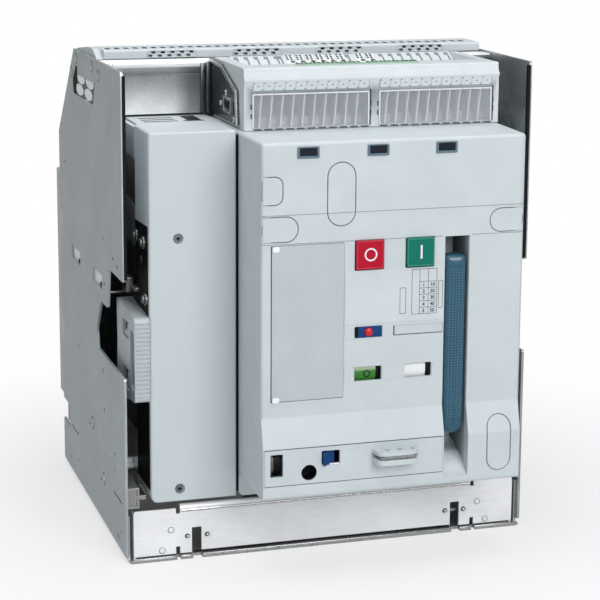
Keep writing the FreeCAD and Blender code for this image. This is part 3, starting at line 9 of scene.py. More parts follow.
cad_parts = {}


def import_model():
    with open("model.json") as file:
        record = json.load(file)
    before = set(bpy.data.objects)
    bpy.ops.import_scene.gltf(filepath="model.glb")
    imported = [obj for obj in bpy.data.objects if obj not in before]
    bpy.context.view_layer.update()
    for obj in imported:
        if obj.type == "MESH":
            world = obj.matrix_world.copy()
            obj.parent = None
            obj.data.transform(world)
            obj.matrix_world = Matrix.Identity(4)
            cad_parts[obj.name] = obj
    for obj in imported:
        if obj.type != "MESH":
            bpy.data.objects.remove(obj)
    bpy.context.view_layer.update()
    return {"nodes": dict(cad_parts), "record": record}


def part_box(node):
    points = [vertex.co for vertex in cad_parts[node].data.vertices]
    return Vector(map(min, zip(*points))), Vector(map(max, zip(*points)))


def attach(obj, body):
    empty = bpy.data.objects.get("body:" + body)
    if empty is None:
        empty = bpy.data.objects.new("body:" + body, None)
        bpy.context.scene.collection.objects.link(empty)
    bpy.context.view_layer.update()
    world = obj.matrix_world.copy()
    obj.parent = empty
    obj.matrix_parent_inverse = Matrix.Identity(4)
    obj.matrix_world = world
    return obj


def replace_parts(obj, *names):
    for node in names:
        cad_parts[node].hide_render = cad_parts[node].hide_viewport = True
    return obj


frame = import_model()
NODES = frame["nodes"]
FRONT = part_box("left_side_plate")[0].y
MM = 0.001


def spot(x, back, z):
    """A point from millimetres: X, distance behind the plates' front edges, Z."""
    return Vector((x * MM, FRONT + back * MM, z * MM))


def ends(name):
    """The ends of a solid in millimetres: in X, behind the plates' front edges, in Z."""
    low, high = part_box(name)
    starts = (0, FRONT, 0)
    return [((low[axis] - starts[axis]) / MM, (high[axis] - starts[axis]) / MM) for axis in range(3)]


# Materials

MATERIALS = {}


def srgb(levels):
    """A colour given as the three eight-bit levels a screen shows."""
    channels = []
    for level in levels:
        value = level / 255
        channels.append(value / 12.92 if value <= 0.04045 else ((value + 0.055) / 1.055) ** 2.4)
    return (*channels, 1.0)


def shade(color, amount):
    """A colour made darker or lighter by a factor."""
    return (*(channel * amount for channel in color[:3]), 1.0)


def new_material(name):
    """A material kept under its name: its node tree, its shader and the object coordinates."""
    paint = bpy.data.materials.new(name)
    paint.use_nodes = True
    MATERIALS[name] = paint
    tree = paint.node_tree
    return tree, tree.nodes["Principled BSDF"], tree.nodes.new("ShaderNodeTexCoord")


def feed(tree, item, inputs):
    """Set a node's inputs; an input given as another node's output is linked to it."""
    for key, value in inputs.items():
        if isinstance(value, bpy.types.NodeSocket):
            tree.links.new(value, item.inputs[key])
        else:
            item.inputs[key].default_value = value
    return item


def node(tree, kind, inputs=(), **settings):
    """A new shader node with its settings and inputs."""
    item = tree.nodes.new("ShaderNode" + kind)
    for key, value in settings.items():
        setattr(item, key, value)
    return feed(tree, item, dict(inputs))


def noise(tree, where, scale, detail=3.0, stretch=(1, 1, 1)):
    """A noise texture in metres, stretched along the axes whose factor is small."""
    mapping = node(tree, "Mapping", {"Scale": stretch, "Vector": where.outputs["Object"]})
    texture = node(tree, "TexNoise", {"Scale": scale, "Detail": detail, "Vector": mapping.outputs["Vector"]})
    return texture.outputs["Fac"]


def spread(tree, value, low, high, source=(0.3, 0.7)):
    """Map the part of a value that lies in the source range onto low to high."""
    inputs = {"From Min": source[0], "From Max": source[1], "To Min": low, "To Max": high, "Value": value}
    return node(tree, "MapRange", inputs).outputs["Result"]


def tinted(tree, value, dark, light):
    """Mix two colours by a value."""
    return node(tree, "Mix", {"A": dark, "B": light, "Factor": value}, data_type="RGBA").outputs["Result"]


def bumped(tree, height, strength, distance, before=None):
    """A bump from a height, on top of an earlier one if given."""
    bump = node(tree, "Bump", {"Strength": strength, "Distance": distance, "Height": height})
    if before is not None:
        tree.links.new(before, bump.inputs["Normal"])
    return bump.outputs["Normal"]


def eased(tree, radius):
    """Slightly rounded edges."""
    return node(tree, "Bevel", {"Radius": radius}, samples=4).outputs["Normal"]


def moulded(name, levels, roughness, coat=0.0, shine=0.45):
    """Moulded plastic: fine spark-eroded grain, faint mottling, slight unevenness in its gloss."""
    tree, shader, where = new_material(name)
    color = srgb(levels)
    mottle = spread(tree, noise(tree, where, 35, 4), 0.0, 1.0)
    wave = bumped(tree, noise(tree, where, 22, 2), 0.06, 0.002, eased(tree, 0.0006))
    feed(tree, shader, {
        "Base Color": tinted(tree, mottle, shade(color, 0.965), shade(color, 1.03)),
        "Roughness": spread(tree, noise(tree, where, 90, 4), roughness - 0.05, roughness + 0.06),
        "Normal": bumped(tree, noise(tree, where, 3800, 2), 0.25, 0.00006, wave),
        "Coat Weight": coat,
        "Specular IOR Level": shine,
    })
    return tree, shader, where


def plated(name, levels, roughness, stretch=(1, 1, 0.12), metal=0.9, streak=0.5, depth=0.11):
    """Zinc-plated sheet: rolled streaks, cloudy passivation and fine scratches."""
    tree, shader, where = new_material(name)
    color = srgb(levels)
    rolled = noise(tree, where, 320, 4, stretch)
    cloud = noise(tree, where, 16, 5)
    both = node(tree, "Mix", {"Factor": streak, "A": cloud, "B": rolled}).outputs["Result"]
    value = spread(tree, both, 0.0, 1.0, (0.36, 0.64))
    scratch = bumped(tree, rolled, 0.1, 0.0002, eased(tree, 0.0005))
    feed(tree, shader, {
        "Base Color": tinted(tree, value, shade(color, 1 - depth), shade(color, 1 + depth)),
        "Roughness": spread(tree, both, roughness - 0.07, roughness + 0.1),
        "Normal": bumped(tree, noise(tree, where, 9, 2), 0.12, 0.004, scratch),
        "Metallic": metal,
    })


def clear(name, levels, alpha, roughness):
    """Clear moulding seen through, with faint flow marks."""
    tree, shader, where = new_material(name)
    color = srgb(levels)
    flow = noise(tree, where, 60, 3, (1, 1, 0.2))
    feed(tree, shader, {
        "Base Color": tinted(tree, spread(tree, flow, 0, 1), shade(color, 0.95), color),
        "Roughness": spread(tree, flow, roughness - 0.04, roughness + 0.06),
        "Normal": bumped(tree, flow, 0.08, 0.0006),
        "Alpha": alpha,
    })


def layered(name, roughness, *stops, axis="Z", metal=0.0, grain=0.0, dim=("X", 0, 1, 1)):
    """A surface coloured in stops, each a place in millimetres along the axis and a colour.

    Speckles come in if asked. Dim paints shade towards one end: an axis, two places on it and the factor
    reached at the second."""
    tree, shader, where = moulded(name, stops[-1][1], roughness)
    split = node(tree, "SeparateXYZ", {"Vector": where.outputs["Object"]})
    low, high = stops[0][0], stops[-1][0]
    share = spread(tree, split.outputs[axis], 0.0, 1.0, (low * MM, high * MM))
    ramp = node(tree, "ValToRGB", {"Fac": share})
    elements = ramp.color_ramp.elements
    while len(elements) < len(stops):
        elements.new(1.0)
    for element, (place, levels) in zip(elements, stops):
        element.position = (place - low) / (high - low)
        element.color = srgb(levels)
    speckles = spread(tree, noise(tree, where, 1300, 3), 1 - grain, 1 + grain, (0.35, 0.65))
    clouds = spread(tree, noise(tree, where, 40, 5), 1 - grain / 2, 1 + grain / 2, (0.35, 0.65))
    dim_axis, start, end, factor = dim
    fade = spread(tree, split.outputs[dim_axis], 1.0, factor, (start * MM, end * MM))
    color = ramp.outputs["Color"]
    for amount in (speckles, clouds, fade):
        scaled = node(tree, "VectorMath", {"Vector": color, "Scale": amount}, operation="SCALE")
        color = scaled.outputs["Vector"]
    feed(tree, shader, {"Base Color": color, "Metallic": metal})


# Colours that more than one material or stop shares
LIGHT_GREY = (196, 205, 209)
CUT_EDGE = (238, 245, 249)
CELL_DARK = (26, 27, 29)
PLATE_STREAKS = (1, 1, 0.18)

# Sheets, rails, copper and steel parts
plated("zinc_plate", (190, 199, 204), 0.34, PLATE_STREAKS, metal=0.6, streak=0.35)
plated("plate_mirror", (184, 190, 194), 0.28, PLATE_STREAKS, metal=0.7, streak=0.35, depth=0.14)
plated("zinc_sheet", (176, 178, 179), 0.32, (1, 1, 1), metal=0.7, streak=0.8)
plated("satin_tray", (244, 245, 247), 0.4, (0.15, 1, 1), metal=0.2, streak=0.3, depth=0.07)
plated("rail_steel", (190, 191, 192), 0.25, (1, 0.08, 1))
plated("plated_copper", (214, 196, 178), 0.25, (1, 0.2, 1), streak=0.25, depth=0.05)
plated("spring_steel", (150, 150, 154), 0.3, (0.2, 1, 1))
plated("chute_plates", (110, 110, 112), 0.4)
plated("bracket_steel", (92, 95, 97), 0.28, (1, 1, 0.3))
plated("screw_dark", (140, 146, 148), 0.3)
# Also paints the highlights on the bracket's turned edge and the pan's lip
plated("bright_steel", (214, 216, 216), 0.22)
plated("dark_steel", (132, 134, 136), 0.28)

# Large mouldings
moulded("black_moulding", (34, 34, 36), 0.42)
moulded("shutter_plastic", (54, 54, 57), 0.4)
moulded("grey_hood", (200, 208, 212), 0.5)
moulded("grey_block", (205, 212, 216), 0.46)
moulded("rear_grey", (196, 200, 202), 0.5)
moulded("grey_cover", LIGHT_GREY, 0.48)
moulded("blank_grey", (184, 190, 197), 0.45)
moulded("grip_grey", (184, 192, 196), 0.46)
# Darker than the grip: painted shade in the finger slots
moulded("grip_gloss", (110, 120, 126), 0.2, coat=0.5)
moulded("white_terminals", (226, 230, 231), 0.42)
moulded("frame_white", (226, 226, 232), 0.3)
# Near white: painted light seen through openings in the left plate
moulded("trough_white", (252, 253, 253), 0.4)
clear("clear_flap", (226, 232, 236), 0.22, 0.12)

# Controls, signs and small parts
moulded("dark_latch", (22, 27, 36), 0.42, shine=0.2)
# Lighter blue: painted sheen on the latches' sloped edges
moulded("latch_blue", (92, 116, 132), 0.4)
moulded("handle_blue", (46, 86, 107), 0.3, coat=0.6, shine=0.25)
moulded("handle_dots", (82, 123, 144), 0.35)
moulded("off_red", (176, 4, 42), 0.42, shine=0.2)
# Lighter than its button: painted highlight on the bevel
moulded("red_rim", (190, 34, 62), 0.35)
moulded("on_green", (4, 112, 96), 0.42, shine=0.2)
# Lighter than its button: painted highlight on the bevel
moulded("green_rim", (30, 134, 114), 0.35)
moulded("symbol_white", (238, 240, 240), 0.4)
moulded("control_blue", (8, 62, 116), 0.36, shine=0.25)
moulded("reset_red", (196, 20, 44), 0.33, coat=0.2)
moulded("flag_green", (66, 128, 58), 0.4)
moulded("flag_white", (232, 235, 234), 0.4)
moulded("label_closed", (190, 30, 44), 0.4)
moulded("label_amber", (226, 178, 40), 0.4)
moulded("olive", (92, 90, 78), 0.4)
moulded("pearl", (236, 240, 242), 0.25, coat=0.3)
moulded("plate_white", (201, 209, 214), 0.38)
moulded("strip_green", (146, 178, 156), 0.45)
moulded("teeth_dark", (62, 104, 80), 0.45)

# Seams, print, black parts, and painted shade in gaps, holes and insides
moulded("seam_grey", (128, 137, 142), 0.5)
moulded("seam_dark", (48, 54, 58), 0.5)
moulded("print_grey", (96, 104, 110), 0.5)
moulded("print_dark", (40, 44, 50), 0.5)
moulded("black_inside", (14, 16, 18), 0.55, shine=0.15)
moulded("web_grey", (92, 99, 104), 0.45)

# Surfaces that change along an axis
layered("label_open", 0.4, (191.5, (56, 124, 44)), (196, (214, 220, 196)))
layered("terminal_lilac", 0.5, (409, (208, 200, 216)), (442, (138, 132, 154)))
layered("housing", 0.45, (250, CELL_DARK), (292.5, CELL_DARK), (293, (98, 100, 102)),
        (331, (128, 130, 132)), (335, (52, 49, 47)), (376, (86, 82, 80)),
        (377.5, (172, 180, 184)), (406.5, (204, 212, 216)))
layered("cover_sides", 0.48, (-180, CUT_EDGE), (-175.2, CUT_EDGE),
        (-174.6, LIGHT_GREY), (-90, LIGHT_GREY), axis="X")
# Cross-member: painted reflection and shade, light at the foot, darker upwards, darkest at the bend line,
# dimmed towards the right end
layered("beam_zinc", 0.34, (410, (226, 228, 229)), (424, (196, 199, 201)), (436, (164, 167, 169)),
        (448.5, (134, 137, 139)), (449.5, (108, 111, 113)), (456, (150, 152, 154)),
        metal=0.55, grain=0.13, dim=("X", -122, -108, 0.5))
layered("well_shade", 0.6, (-240, (186, 195, 199)), (-225, (120, 128, 132)), (-200, (40, 46, 50)), axis="Y")

# Solids that wear another finish than their record's slot; the cross-member's paints reflection and shade
FINISHES = {
    "block_brackets": "bracket_steel",
    "cross_member": "beam_zinc",
    "neutral_cover": "cover_sides",
    "pole_housing": "housing",
    "rear_moulding": "rear_grey",
    "right_side_plate": "plate_mirror",
    "terminal_strips": "terminal_lilac",
}
for entry in frame["record"]["subparts"]:
    paints = NODES[entry["node"]].data.materials
    paints.clear()
    paints.append(MATERIALS[FINISHES.get(entry["node"], entry["material_slot"])])

# Finishes of small dark pieces, many of them painted shade: the record's slot and the material
BLACK = ("dark_latch", "black_inside")
DARK_SEAM = ("dark_latch", "seam_dark")
DARK_PRINT = ("dark_latch", "print_dark")


# Mesh helpers. Places are in millimetres: X, distance behind the plates' front edges, Z.

AXES = {
    "x": lambda u, v, level: (level, u, v),
    "y": lambda u, v, level: (u, level, v),
    "z": lambda u, v, level: (u, v, level),
}


def rectangle(low_u, low_v, high_u, high_v):
    """Corners of a rectangle."""
    return [(low_u, low_v), (high_u, low_v), (high_u, high_v), (low_u, high_v)]


def circle(u, v, radius, sides=24):
    """Outline of a circle."""
    turns = [2 * math.pi * side / sides for side in range(sides)]
    return [(u + radius * math.cos(turn), v + radius * math.sin(turn)) for turn in turns]


def arc(u, v, radius, start, sweep, steps):
    """Points of an arc; its start and sweep are in degrees."""
    turns = [math.radians(start + sweep * step / steps) for step in range(steps + 1)]
    return [(u + radius * math.cos(turn), v + radius * math.sin(turn)) for turn in turns]


def rounded(low_u, low_v, high_u, high_v, radius, steps=6, foot=None):
    """Outline of a rectangle with round corners, the lower two of another radius if given."""
    foot = foot or radius
    points = []
    for u, v, size, start in ((high_u - radius, high_v - radius, radius, 0),
                              (low_u + radius, high_v - radius, radius, 90),
                              (low_u + foot, low_v + foot, foot, 180),
                              (high_u - foot, low_v + foot, foot, 270)):
        points += arc(u, v, size, start, 90, steps)
    return points


def outward(near, far, side):
    """Two distances from the middle as ends in X on one side, the lower end first."""
    return sorted((near * side, far * side))


class Shape:
    """Solids collected into one mesh."""

    def __init__(self):
        self.mesh = bmesh.new()

    def rim(self, points):
        """Vertices at these places."""
        return [self.mesh.verts.new(spot(*point)) for point in points]

    def level(self, axis, outline, place):
        """Vertices of an outline at a place along the axis."""
        return self.rim(AXES[axis](u, v, place) for u, v in outline)

    def skin(self, rims, caps=(0, -1)):
        """Faces between neighbouring rims, and over the rims that caps names."""
        faces = [self.mesh.faces.new(rims[cap]) for cap in caps]
        for index in range(len(rims[0])):
            for low, high in zip(rims, rims[1:]):
                faces.append(self.mesh.faces.new((low[index - 1], low[index], high[index], high[index - 1])))
        bmesh.ops.recalc_face_normals(self.mesh, faces=faces)
        return faces

    def tube(self, outer, inner):
        """A solid between a pair of outer rims and a pair of inner ones, both low end first."""
        self.skin([*outer, *inner[::-1], outer[0]], caps=())
        return self

    def loft(self, axis, low_outline, high_outline, low, high, bevel=0.0, segments=2):
        """A solid between two outlines of as many points, at the two places along the axis."""
        faces = self.skin([self.level(axis, low_outline, low), self.level(axis, high_outline, high)])
        if bevel:
            edges = list({edge for face in faces for edge in face.edges})
            bmesh.ops.bevel(self.mesh, geom=edges, offset=bevel * MM, segments=segments, profile=0.5,
                            affect="EDGES", clamp_overlap=True)
        return self

    def prism(self, axis, outline, low, high, bevel=0.0, segments=2):
        """A solid of one outline."""
        return self.loft(axis, outline, outline, low, high, bevel, segments)

    def box(self, x, back, z, bevel=0.0):
        """A box between pairs of ends."""
        return self.prism("z", rectangle(x[0], back[0], x[1], back[1]), *z, bevel)

    def rod(self, axis, centre, radius, low, high, sides=24, bevel=0.0):
        """A round bar."""
        return self.prism(axis, circle(*centre, radius, sides), low, high, bevel)

    def cone(self, axis, centre, low_radius, high_radius, low, high):
        """A round bar that narrows."""
        return self.loft(axis, circle(*centre, low_radius), circle(*centre, high_radius), low, high)

    def ring(self, axis, outer, inner, low, high):
        """A solid between an outer and an inner outline of as many points."""
        rims = [[self.level(axis, outline, place) for place in (low, high)] for outline in (outer, inner)]
        return self.tube(*rims)

    def washer(self, axis, centre, outer, inner, low, high, sides=24):
        """A round ring between two radii."""
        return self.ring(axis, circle(*centre, outer, sides), circle(*centre, inner, sides), low, high)

    def band(self, axis, corners, radius, width, low, high, inner_radius=None):
        """A ring of even width just inside a rounded rectangle."""
        left, bottom, right, top = corners
        inner_radius = inner_radius or radius - width
        inner = rounded(left + width, bottom + width, right - width, top - width, inner_radius)
        return self.ring(axis, rounded(*corners, radius), inner, low, high)

    def dome(self, axis, centre, radius, low, high, sides=24, rings=5):
        """A round head whose crown lies at the high end."""
        rims = []
        for step in range(rings):
            angle = math.pi / 2 * step / rings
            outline = circle(*centre, radius * math.cos(angle), sides)
            rims.append(self.level(axis, outline, low + (high - low) * math.sin(angle)))
        crown = self.level(axis, [centre], high)[0]
        faces = self.skin(rims, caps=(0,))
        for index in range(sides):
            faces.append(self.mesh.faces.new((rims[-1][index - 1], rims[-1][index], crown)))
        bmesh.ops.recalc_face_normals(self.mesh, faces=faces)
        return self

    def item(self, name):
        """The mesh as an object, smooth but for its sharp edges."""
        data = bpy.data.meshes.new(name)
        self.mesh.to_mesh(data)
        self.mesh.free()
        smooth(data)
        return placed(name, data)


def boxes_at(*rows, bevel=0.0):
    """Boxes in one shape, each row with its ends in X, behind the front edges and in Z."""
    shape = Shape()
    for x, back, z in rows:
        shape.box(x, back, z, bevel)
    return shape


def placed(name, data):
    """A new object in the scene."""
    item = bpy.data.objects.new(name, data)
    bpy.context.scene.collection.objects.link(item)
    return item


def smooth(data):
    """Smooth shading, with edges over 35 degrees kept sharp."""
    for polygon in data.polygons:
        polygon.use_smooth = True
    data.set_sharp_from_angle(angle=math.radians(35))


def dressed(piece, body, slot, material=None):
    """A piece with its material, the slot's unless another is given, riding on a body."""
    piece.data.materials.clear()
    piece.data.materials.append(MATERIALS[material or slot])
    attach(piece, body)
    return piece


def add(name, shape, body, slot, material=None):
    """Finish a shape as a piece that rides on a body."""
    return dressed(shape.item(name), body, slot, material)


def pieces(body, **finishes):
    """Build what the function below returns: a piece on the body for each shape, by name and finish."""
    def build(make):
        shapes = make()
        if isinstance(shapes, Shape):
            shapes = [shapes]
        for (name, finish), shape in zip(finishes.items(), shapes):
            add(name, shape, body, *finish)
        return make
    return build


def carved(name, solid_name, body, slot, cutter, creases=()):
    """A copy of a solid with grooves cut into it, in the solid's place, sharp along creases (back, Z)."""
    solid = NODES[solid_name]
    piece = placed(name, solid.data.copy())
    piece.matrix_world = solid.matrix_world
    tool = cutter.item(name + "_tool")
    difference = piece.modifiers.new("grooves", "BOOLEAN")
    difference.operation = "DIFFERENCE"
    difference.solver = "EXACT"
    difference.object = tool
    bpy.context.view_layer.update()
    shaped = bpy.data.meshes.new_from_object(piece.evaluated_get(bpy.context.evaluated_depsgraph_get()))
    piece.modifiers.clear()
    piece.data = shaped
    bpy.data.objects.remove(tool)
    flat = bmesh.new()
    flat.from_mesh(shaped)
    bmesh.ops.dissolve_limit(flat, angle_limit=math.radians(0.4), verts=flat.verts, edges=flat.edges)
    flat.to_mesh(shaped)
    flat.free()
    smooth(shaped)
    sharp = shaped.attributes["sharp_edge"].data
    near = 0.15 * MM
    for back, z in creases:
        for edge in shaped.edges:
            gaps = [spot(0, back, z) - shaped.vertices[index].co for index in edge.vertices]
            if all(abs(gap.y) < near and abs(gap.z) < near for gap in gaps):
                sharp[edge.index].value = True
    normals = piece.modifiers.new("normals", "WEIGHTED_NORMAL")
    normals.weight = 100
    normals.keep_sharp = True
    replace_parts(dressed(piece, body, slot), solid_name)


# Front of the switch. MASK is the mask's face, and CHIN is the face of its lower, thicker part.

MASK = -76
CHIN = ends("front_mask")[1][0]
CHIN_TOP = 154.5
PANEL_FOOT, PANEL_TOP = ends("racking_panel")[2]
MASK_EDGES = (-90.2, 162.5)
KNOCK_OUTS = ((-29, 329.5, -1.5, 388.5, 13.4), (-120, 351, -70, 377.5, 8), (-120, 317, -55.5, 341, 11.8),
              (129, 316.5, 200, 339.5, 11.2))
CHIN_OVAL = (128.4, 88.2, 153, 142.8, 12.3)
GROOVE = 0.9


def knock_out(shape, edges, low, high, inset=0.0, width=GROOVE):
    """A thin outline in the mask's face, some way inside the edges and corner radius given."""
    left, bottom, right, top, radius = edges
    corners = (left + inset, bottom + inset, right - inset, top - inset)
    shape.band("y", corners, radius - inset, width, low, high)


def chin_reach(z):
    """Distance of the chin's surface behind the plates' front edges at this height."""
    share = min(max((CHIN_TOP - z) / (CHIN_TOP - PANEL_TOP), 0), 1)
    return MASK + (CHIN - MASK) * share


def chin_oval(shape, inset, width, above, below):
    """The oval knock-out on the chin, following the chin's slope."""
    left, bottom, right, top, radius = CHIN_OVAL
    rims = []
    for shrink in (inset, inset + width):
        outline = rounded(left + shrink, bottom + shrink, right - shrink, top - shrink, radius - shrink, 10)
        rims.append([shape.rim((x, chin_reach(z) + lift, z) for x, z in outline) for lift in (above, below)])
    return shape.tube(*rims)


def mask_grooves():
    """Grooves round the knock-outs in the mask."""
    grooves = Shape()
    for edges in KNOCK_OUTS:
        knock_out(grooves, edges, MASK - 1, MASK + 0.8)
    return chin_oval(grooves, 0, GROOVE, -1, 0.8)


@pieces("switch", groove_shadows=("dark_latch", "print_grey"))
def groove_shadows():
    """Dark bottoms of the grooves."""
    shadows = Shape()
    for left, bottom, right, top, radius in KNOCK_OUTS:
        seen = (max(left, MASK_EDGES[0]), bottom, min(right, MASK_EDGES[1]), top, radius)
        knock_out(shadows, seen, MASK + 0.35, MASK + 0.75, 0.2, 0.5)
    return chin_oval(shadows, 0.2, 0.5, 0.35, 0.75)


@pieces("switch", mask_seams=("grey_cover", "seam_grey"))
def mask_seams():
    """Thin seams across the mask."""
    depth = (MASK - 0.12, MASK + 0.5)
    seams = (((-90, 83), 315.4), ((112, 163), 315.4), ((-90, 163), 341.8))
    return boxes_at(*((x, depth, (z, z + 0.5)) for x, z in seams))


@pieces("switch", mask_apron=("grey_cover",))
def mask_apron():
    """Wall under the mask, level with the neutral cover's foot."""
    outline = [(-87.5, 57), (164.5, 57), (168, 60), (168, 79.5), (-90.5, 79.5), (-90.5, 60)]
    return Shape().prism("y", outline, 0.2, 3.2, 0.3)


@pieces("switch", well_lining=("grey_cover", "well_shade"))
def well_lining():
    """Shaded right wall of the handle's well."""
    outline = [(-74.5, 313.5), (-37, 313.5), (-36, 310), (-36, 112), (-74.5, 98)]
    return Shape().prism("x", outline, 109.1, 109.45)


carved("mask_shell", "front_mask", "switch", "grey_cover", mask_grooves(), [(MASK, CHIN_TOP)])

# Black strip at the bottom of the gap between the neutral cover and the mask: painted shade in the gap
add("cover_gap", boxes_at(((-92.9, -90.6), (1.5, 3), (62, 405))), "switch", *BLACK)


# Rating plate, with a plain table, and the raised strips between the control windows

WINDOW_LEFT, WINDOW_RIGHT = -11.5, 84.6
UPPER_ROW = (224.2, 235.4)
LOWER_ROW = (183, 197.6)
TABLE = (53.3, 243.4, 78, 286)
TABLE_ROWS = 5
ROW_HEIGHT = 6.1
COLUMN_LINES = (60.8, 69.2)
NUMBER_COLUMNS = ((65, 1), (73.6, 10))
NUMBER_SIZE, NUMBER_WEIGHT = 4.6, 0.14
EMPTY_BOXES = ((41.7, 244.8, 47.8, 269.3), (79.4, 248, 83.6, 274.3))
PRINT = (MASK - 0.36, MASK - 0.28)
PRINT_WIDTH = 0.42


@pieces("switch", control_bands=("grey_cover",))
def control_bands():
    """Slightly raised strips between the control windows."""
    bands = Shape()
    for left, right, row in ((WINDOW_LEFT, -2.2, UPPER_ROW), (25.8, 35, UPPER_ROW),
                             (WINDOW_LEFT, -2.2, LOWER_ROW), (25.8, 46.8, LOWER_ROW),
                             (74.8, WINDOW_RIGHT, LOWER_ROW)):
        bands.prism("y", rectangle(left, row[0], right, row[1]), MASK - 0.25, MASK + 0.2, 0.1, 1)
    return bands


@pieces("switch", rating_plate=("blank_grey", "plate_white"))
def rating_plate():
    """Bare sheet of the rating plate."""
    outline = rounded(WINDOW_LEFT, 237.3, WINDOW_RIGHT, 287.3, 0.6)
    return Shape().prism("y", outline, MASK - 0.3, MASK + 0.1, 0.08, 1)


@pieces("switch", rating_lines=DARK_PRINT)
def rating_lines():
    """Empty table and two empty boxes printed on the rating plate."""
    lines = Shape()
    _, bottom, right, top = TABLE
    for corners, radius in ((TABLE, 0.4), *((corners, 1.2) for corners in EMPTY_BOXES)):
        lines.band("y", corners, radius, PRINT_WIDTH, *PRINT, radius - PRINT_WIDTH / 2)
    for x in COLUMN_LINES:
        lines.box((x, x + PRINT_WIDTH), PRINT, (bottom, top))
    for row in range(TABLE_ROWS):
        z = bottom + 6 + ROW_HEIGHT * row
        lines.box((COLUMN_LINES[0], right), PRINT, (z, z + PRINT_WIDTH))
    return lines


@pieces("switch", plain_numbers=DARK_PRINT)
def plain_numbers():
    """Plain numbers in the table's rows: one to five, and ten times as much."""
    numbers = Shape()
    for x, step in NUMBER_COLUMNS:
        for row in range(TABLE_ROWS):
            curve = bpy.data.curves.new("number", "FONT")
            curve.body = str((TABLE_ROWS - row) * step)
            curve.size = NUMBER_SIZE * MM
            curve.offset = NUMBER_WEIGHT * MM
            curve.align_x = "CENTER"
            curve.extrude = 0.02 * MM
            item = placed("number", curve)
            item.location = spot(x, MASK - 0.33, TABLE[1] + 1.6 + ROW_HEIGHT * row)
            item.rotation_euler = (math.pi / 2, 0, 0)
            bpy.context.view_layer.update()
            data = bpy.data.meshes.new_from_object(item.evaluated_get(bpy.context.evaluated_depsgraph_get()))
            data.transform(item.matrix_world)
            numbers.mesh.from_mesh(data)
            bpy.data.objects.remove(item)
    return numbers


# Edges and pins of the covers, and the frames of the latches

LATCH_LEFTS = (-57, 9, 75)
LATCH_LENGTH = 20


@pieces("switch", recess_edge=DARK_SEAM)
def recess_edge():
    """Shaded edges of the empty slot beside the reset window."""
    return boxes_at(((36, 37), (MASK - 0.1, MASK + 0.9), (225, 233.8)),
                    ((37, 84), (MASK + 0.55, MASK + 0.95), (224.6, 225.1)))


@pieces("switch", blank_pins=("flag_white", "pearl"))
def blank_pins():
    """Bright pins at the hinged edge of the blank cover."""
    pins = Shape()
    for z in (311.4, 171.4):
        pins.prism("y", rounded(-80.4, z - 2.6, -73.8, z + 2.6, 1.6), MASK - 2.2, MASK - 0.4, 0.6)
    return pins


@pieces("switch", blank_edge=DARK_SEAM)
def blank_edge():
    """Dark gaps along the blank cover's hinged edge and its foot."""
    return boxes_at(((-81.4, -80.7), (MASK - 0.4, MASK + 0.8), (169.8, 314.2)),
                    ((-81.2, -12.2), (MASK - 0.3, MASK + 0.6), (169.3, 169.8)))


@pieces("switch", latch_frames=("dark_latch", "latch_blue"))
def latch_frames():
    """Sloped edges round the latches, in a lighter blue that paints their sheen."""
    frames = Shape()
    for left in LATCH_LEFTS:
        right = left + LATCH_LENGTH
        frames.ring("y", rounded(left - 0.2, 392.8, right + 0.2, 403.2, 1),
                    rounded(left + 1.7, 394.9, right - 1.7, 402.2, 0.8), MASK - 1.1, MASK - 0.5)
    return frames


# Push buttons

BUTTON = 26.5
BUTTON_FOOT = 289
BUTTON_FACE = ends("off_button")[1][0]
# Middle of a symbol, from the left and the foot of its button
SYMBOL_MIDDLE = (13.9, 13.4)


def push_symbol(word, left):
    """Ring or bar on a button's face."""
    x, z = left + SYMBOL_MIDDLE[0], BUTTON_FOOT + SYMBOL_MIDDLE[1]
    low, high = BUTTON_FACE - 0.25, BUTTON_FACE + 0.1
    if word == "off":
        return Shape().washer("y", (x, z), 6.1, 4.7, low, high, 48)
    return Shape().prism("y", rounded(x - 0.9, z - 6.4, x + 0.9, z + 6.4, 0.3), low, high)


def button_rim(left):
    """Bevel round a button's face, in a lighter colour that paints its highlight."""
    corners = (left + 0.1, BUTTON_FOOT + 0.1, left + BUTTON - 0.1, BUTTON_FOOT + BUTTON - 0.1)
    return Shape().band("y", corners, 1.2, 1.4, BUTTON_FACE - 0.35, BUTTON_FACE + 0.2, 0.9)


def button_gap(left):
    """Black ring round a button: its narrow gap and painted shade round it, wider at the foot and the right.
    """
    right, foot, top = left + BUTTON, BUTTON_FOOT, BUTTON_FOOT + BUTTON
    outer = rounded(left - 0.7, foot - 1.3, right + 1.1, top + 0.5, 1.2)
    inner = rounded(left - 0.25, foot - 0.25, right + 0.25, top + 0.25, 0.9)
    return Shape().ring("y", outer, inner, MASK - 0.12, MASK + 0.4)


for number, word, slot, rim_finish in ((1, "off", "off_red", "red_rim"), (2, "on", "on_green", "green_rim")):
    button = word + "_button"
    button_left = ends(button)[0][0]
    add(f"button_gap_{number}", button_gap(button_left), "switch", *BLACK)
    add(word + "_symbol", push_symbol(word, button_left), button, "flag_white", "symbol_white")
    add(word + "_rim", button_rim(button_left), button, slot, rim_finish)


# Indicator drums. A drum is its centre behind the front edges, its centre's height and its radius.

FLAG_DRUM = (-52, 190.5, 20)
POSITION_DRUM = (-65, 111.25, 14)
LABEL_LIFT = 0.12


def drum_patch(drum, x, turn, half_angle):
    """A curved label on a drum, this many degrees above the front."""
    back, z, radius = drum
    start, sweep = 180 - turn + half_angle, -2 * half_angle
    outer = arc(back, z, radius + LABEL_LIFT, start, sweep, 12)
    inner = arc(back, z, radius, start, sweep, 12)
    return Shape().prism("x", outer + inner[::-1], *x)


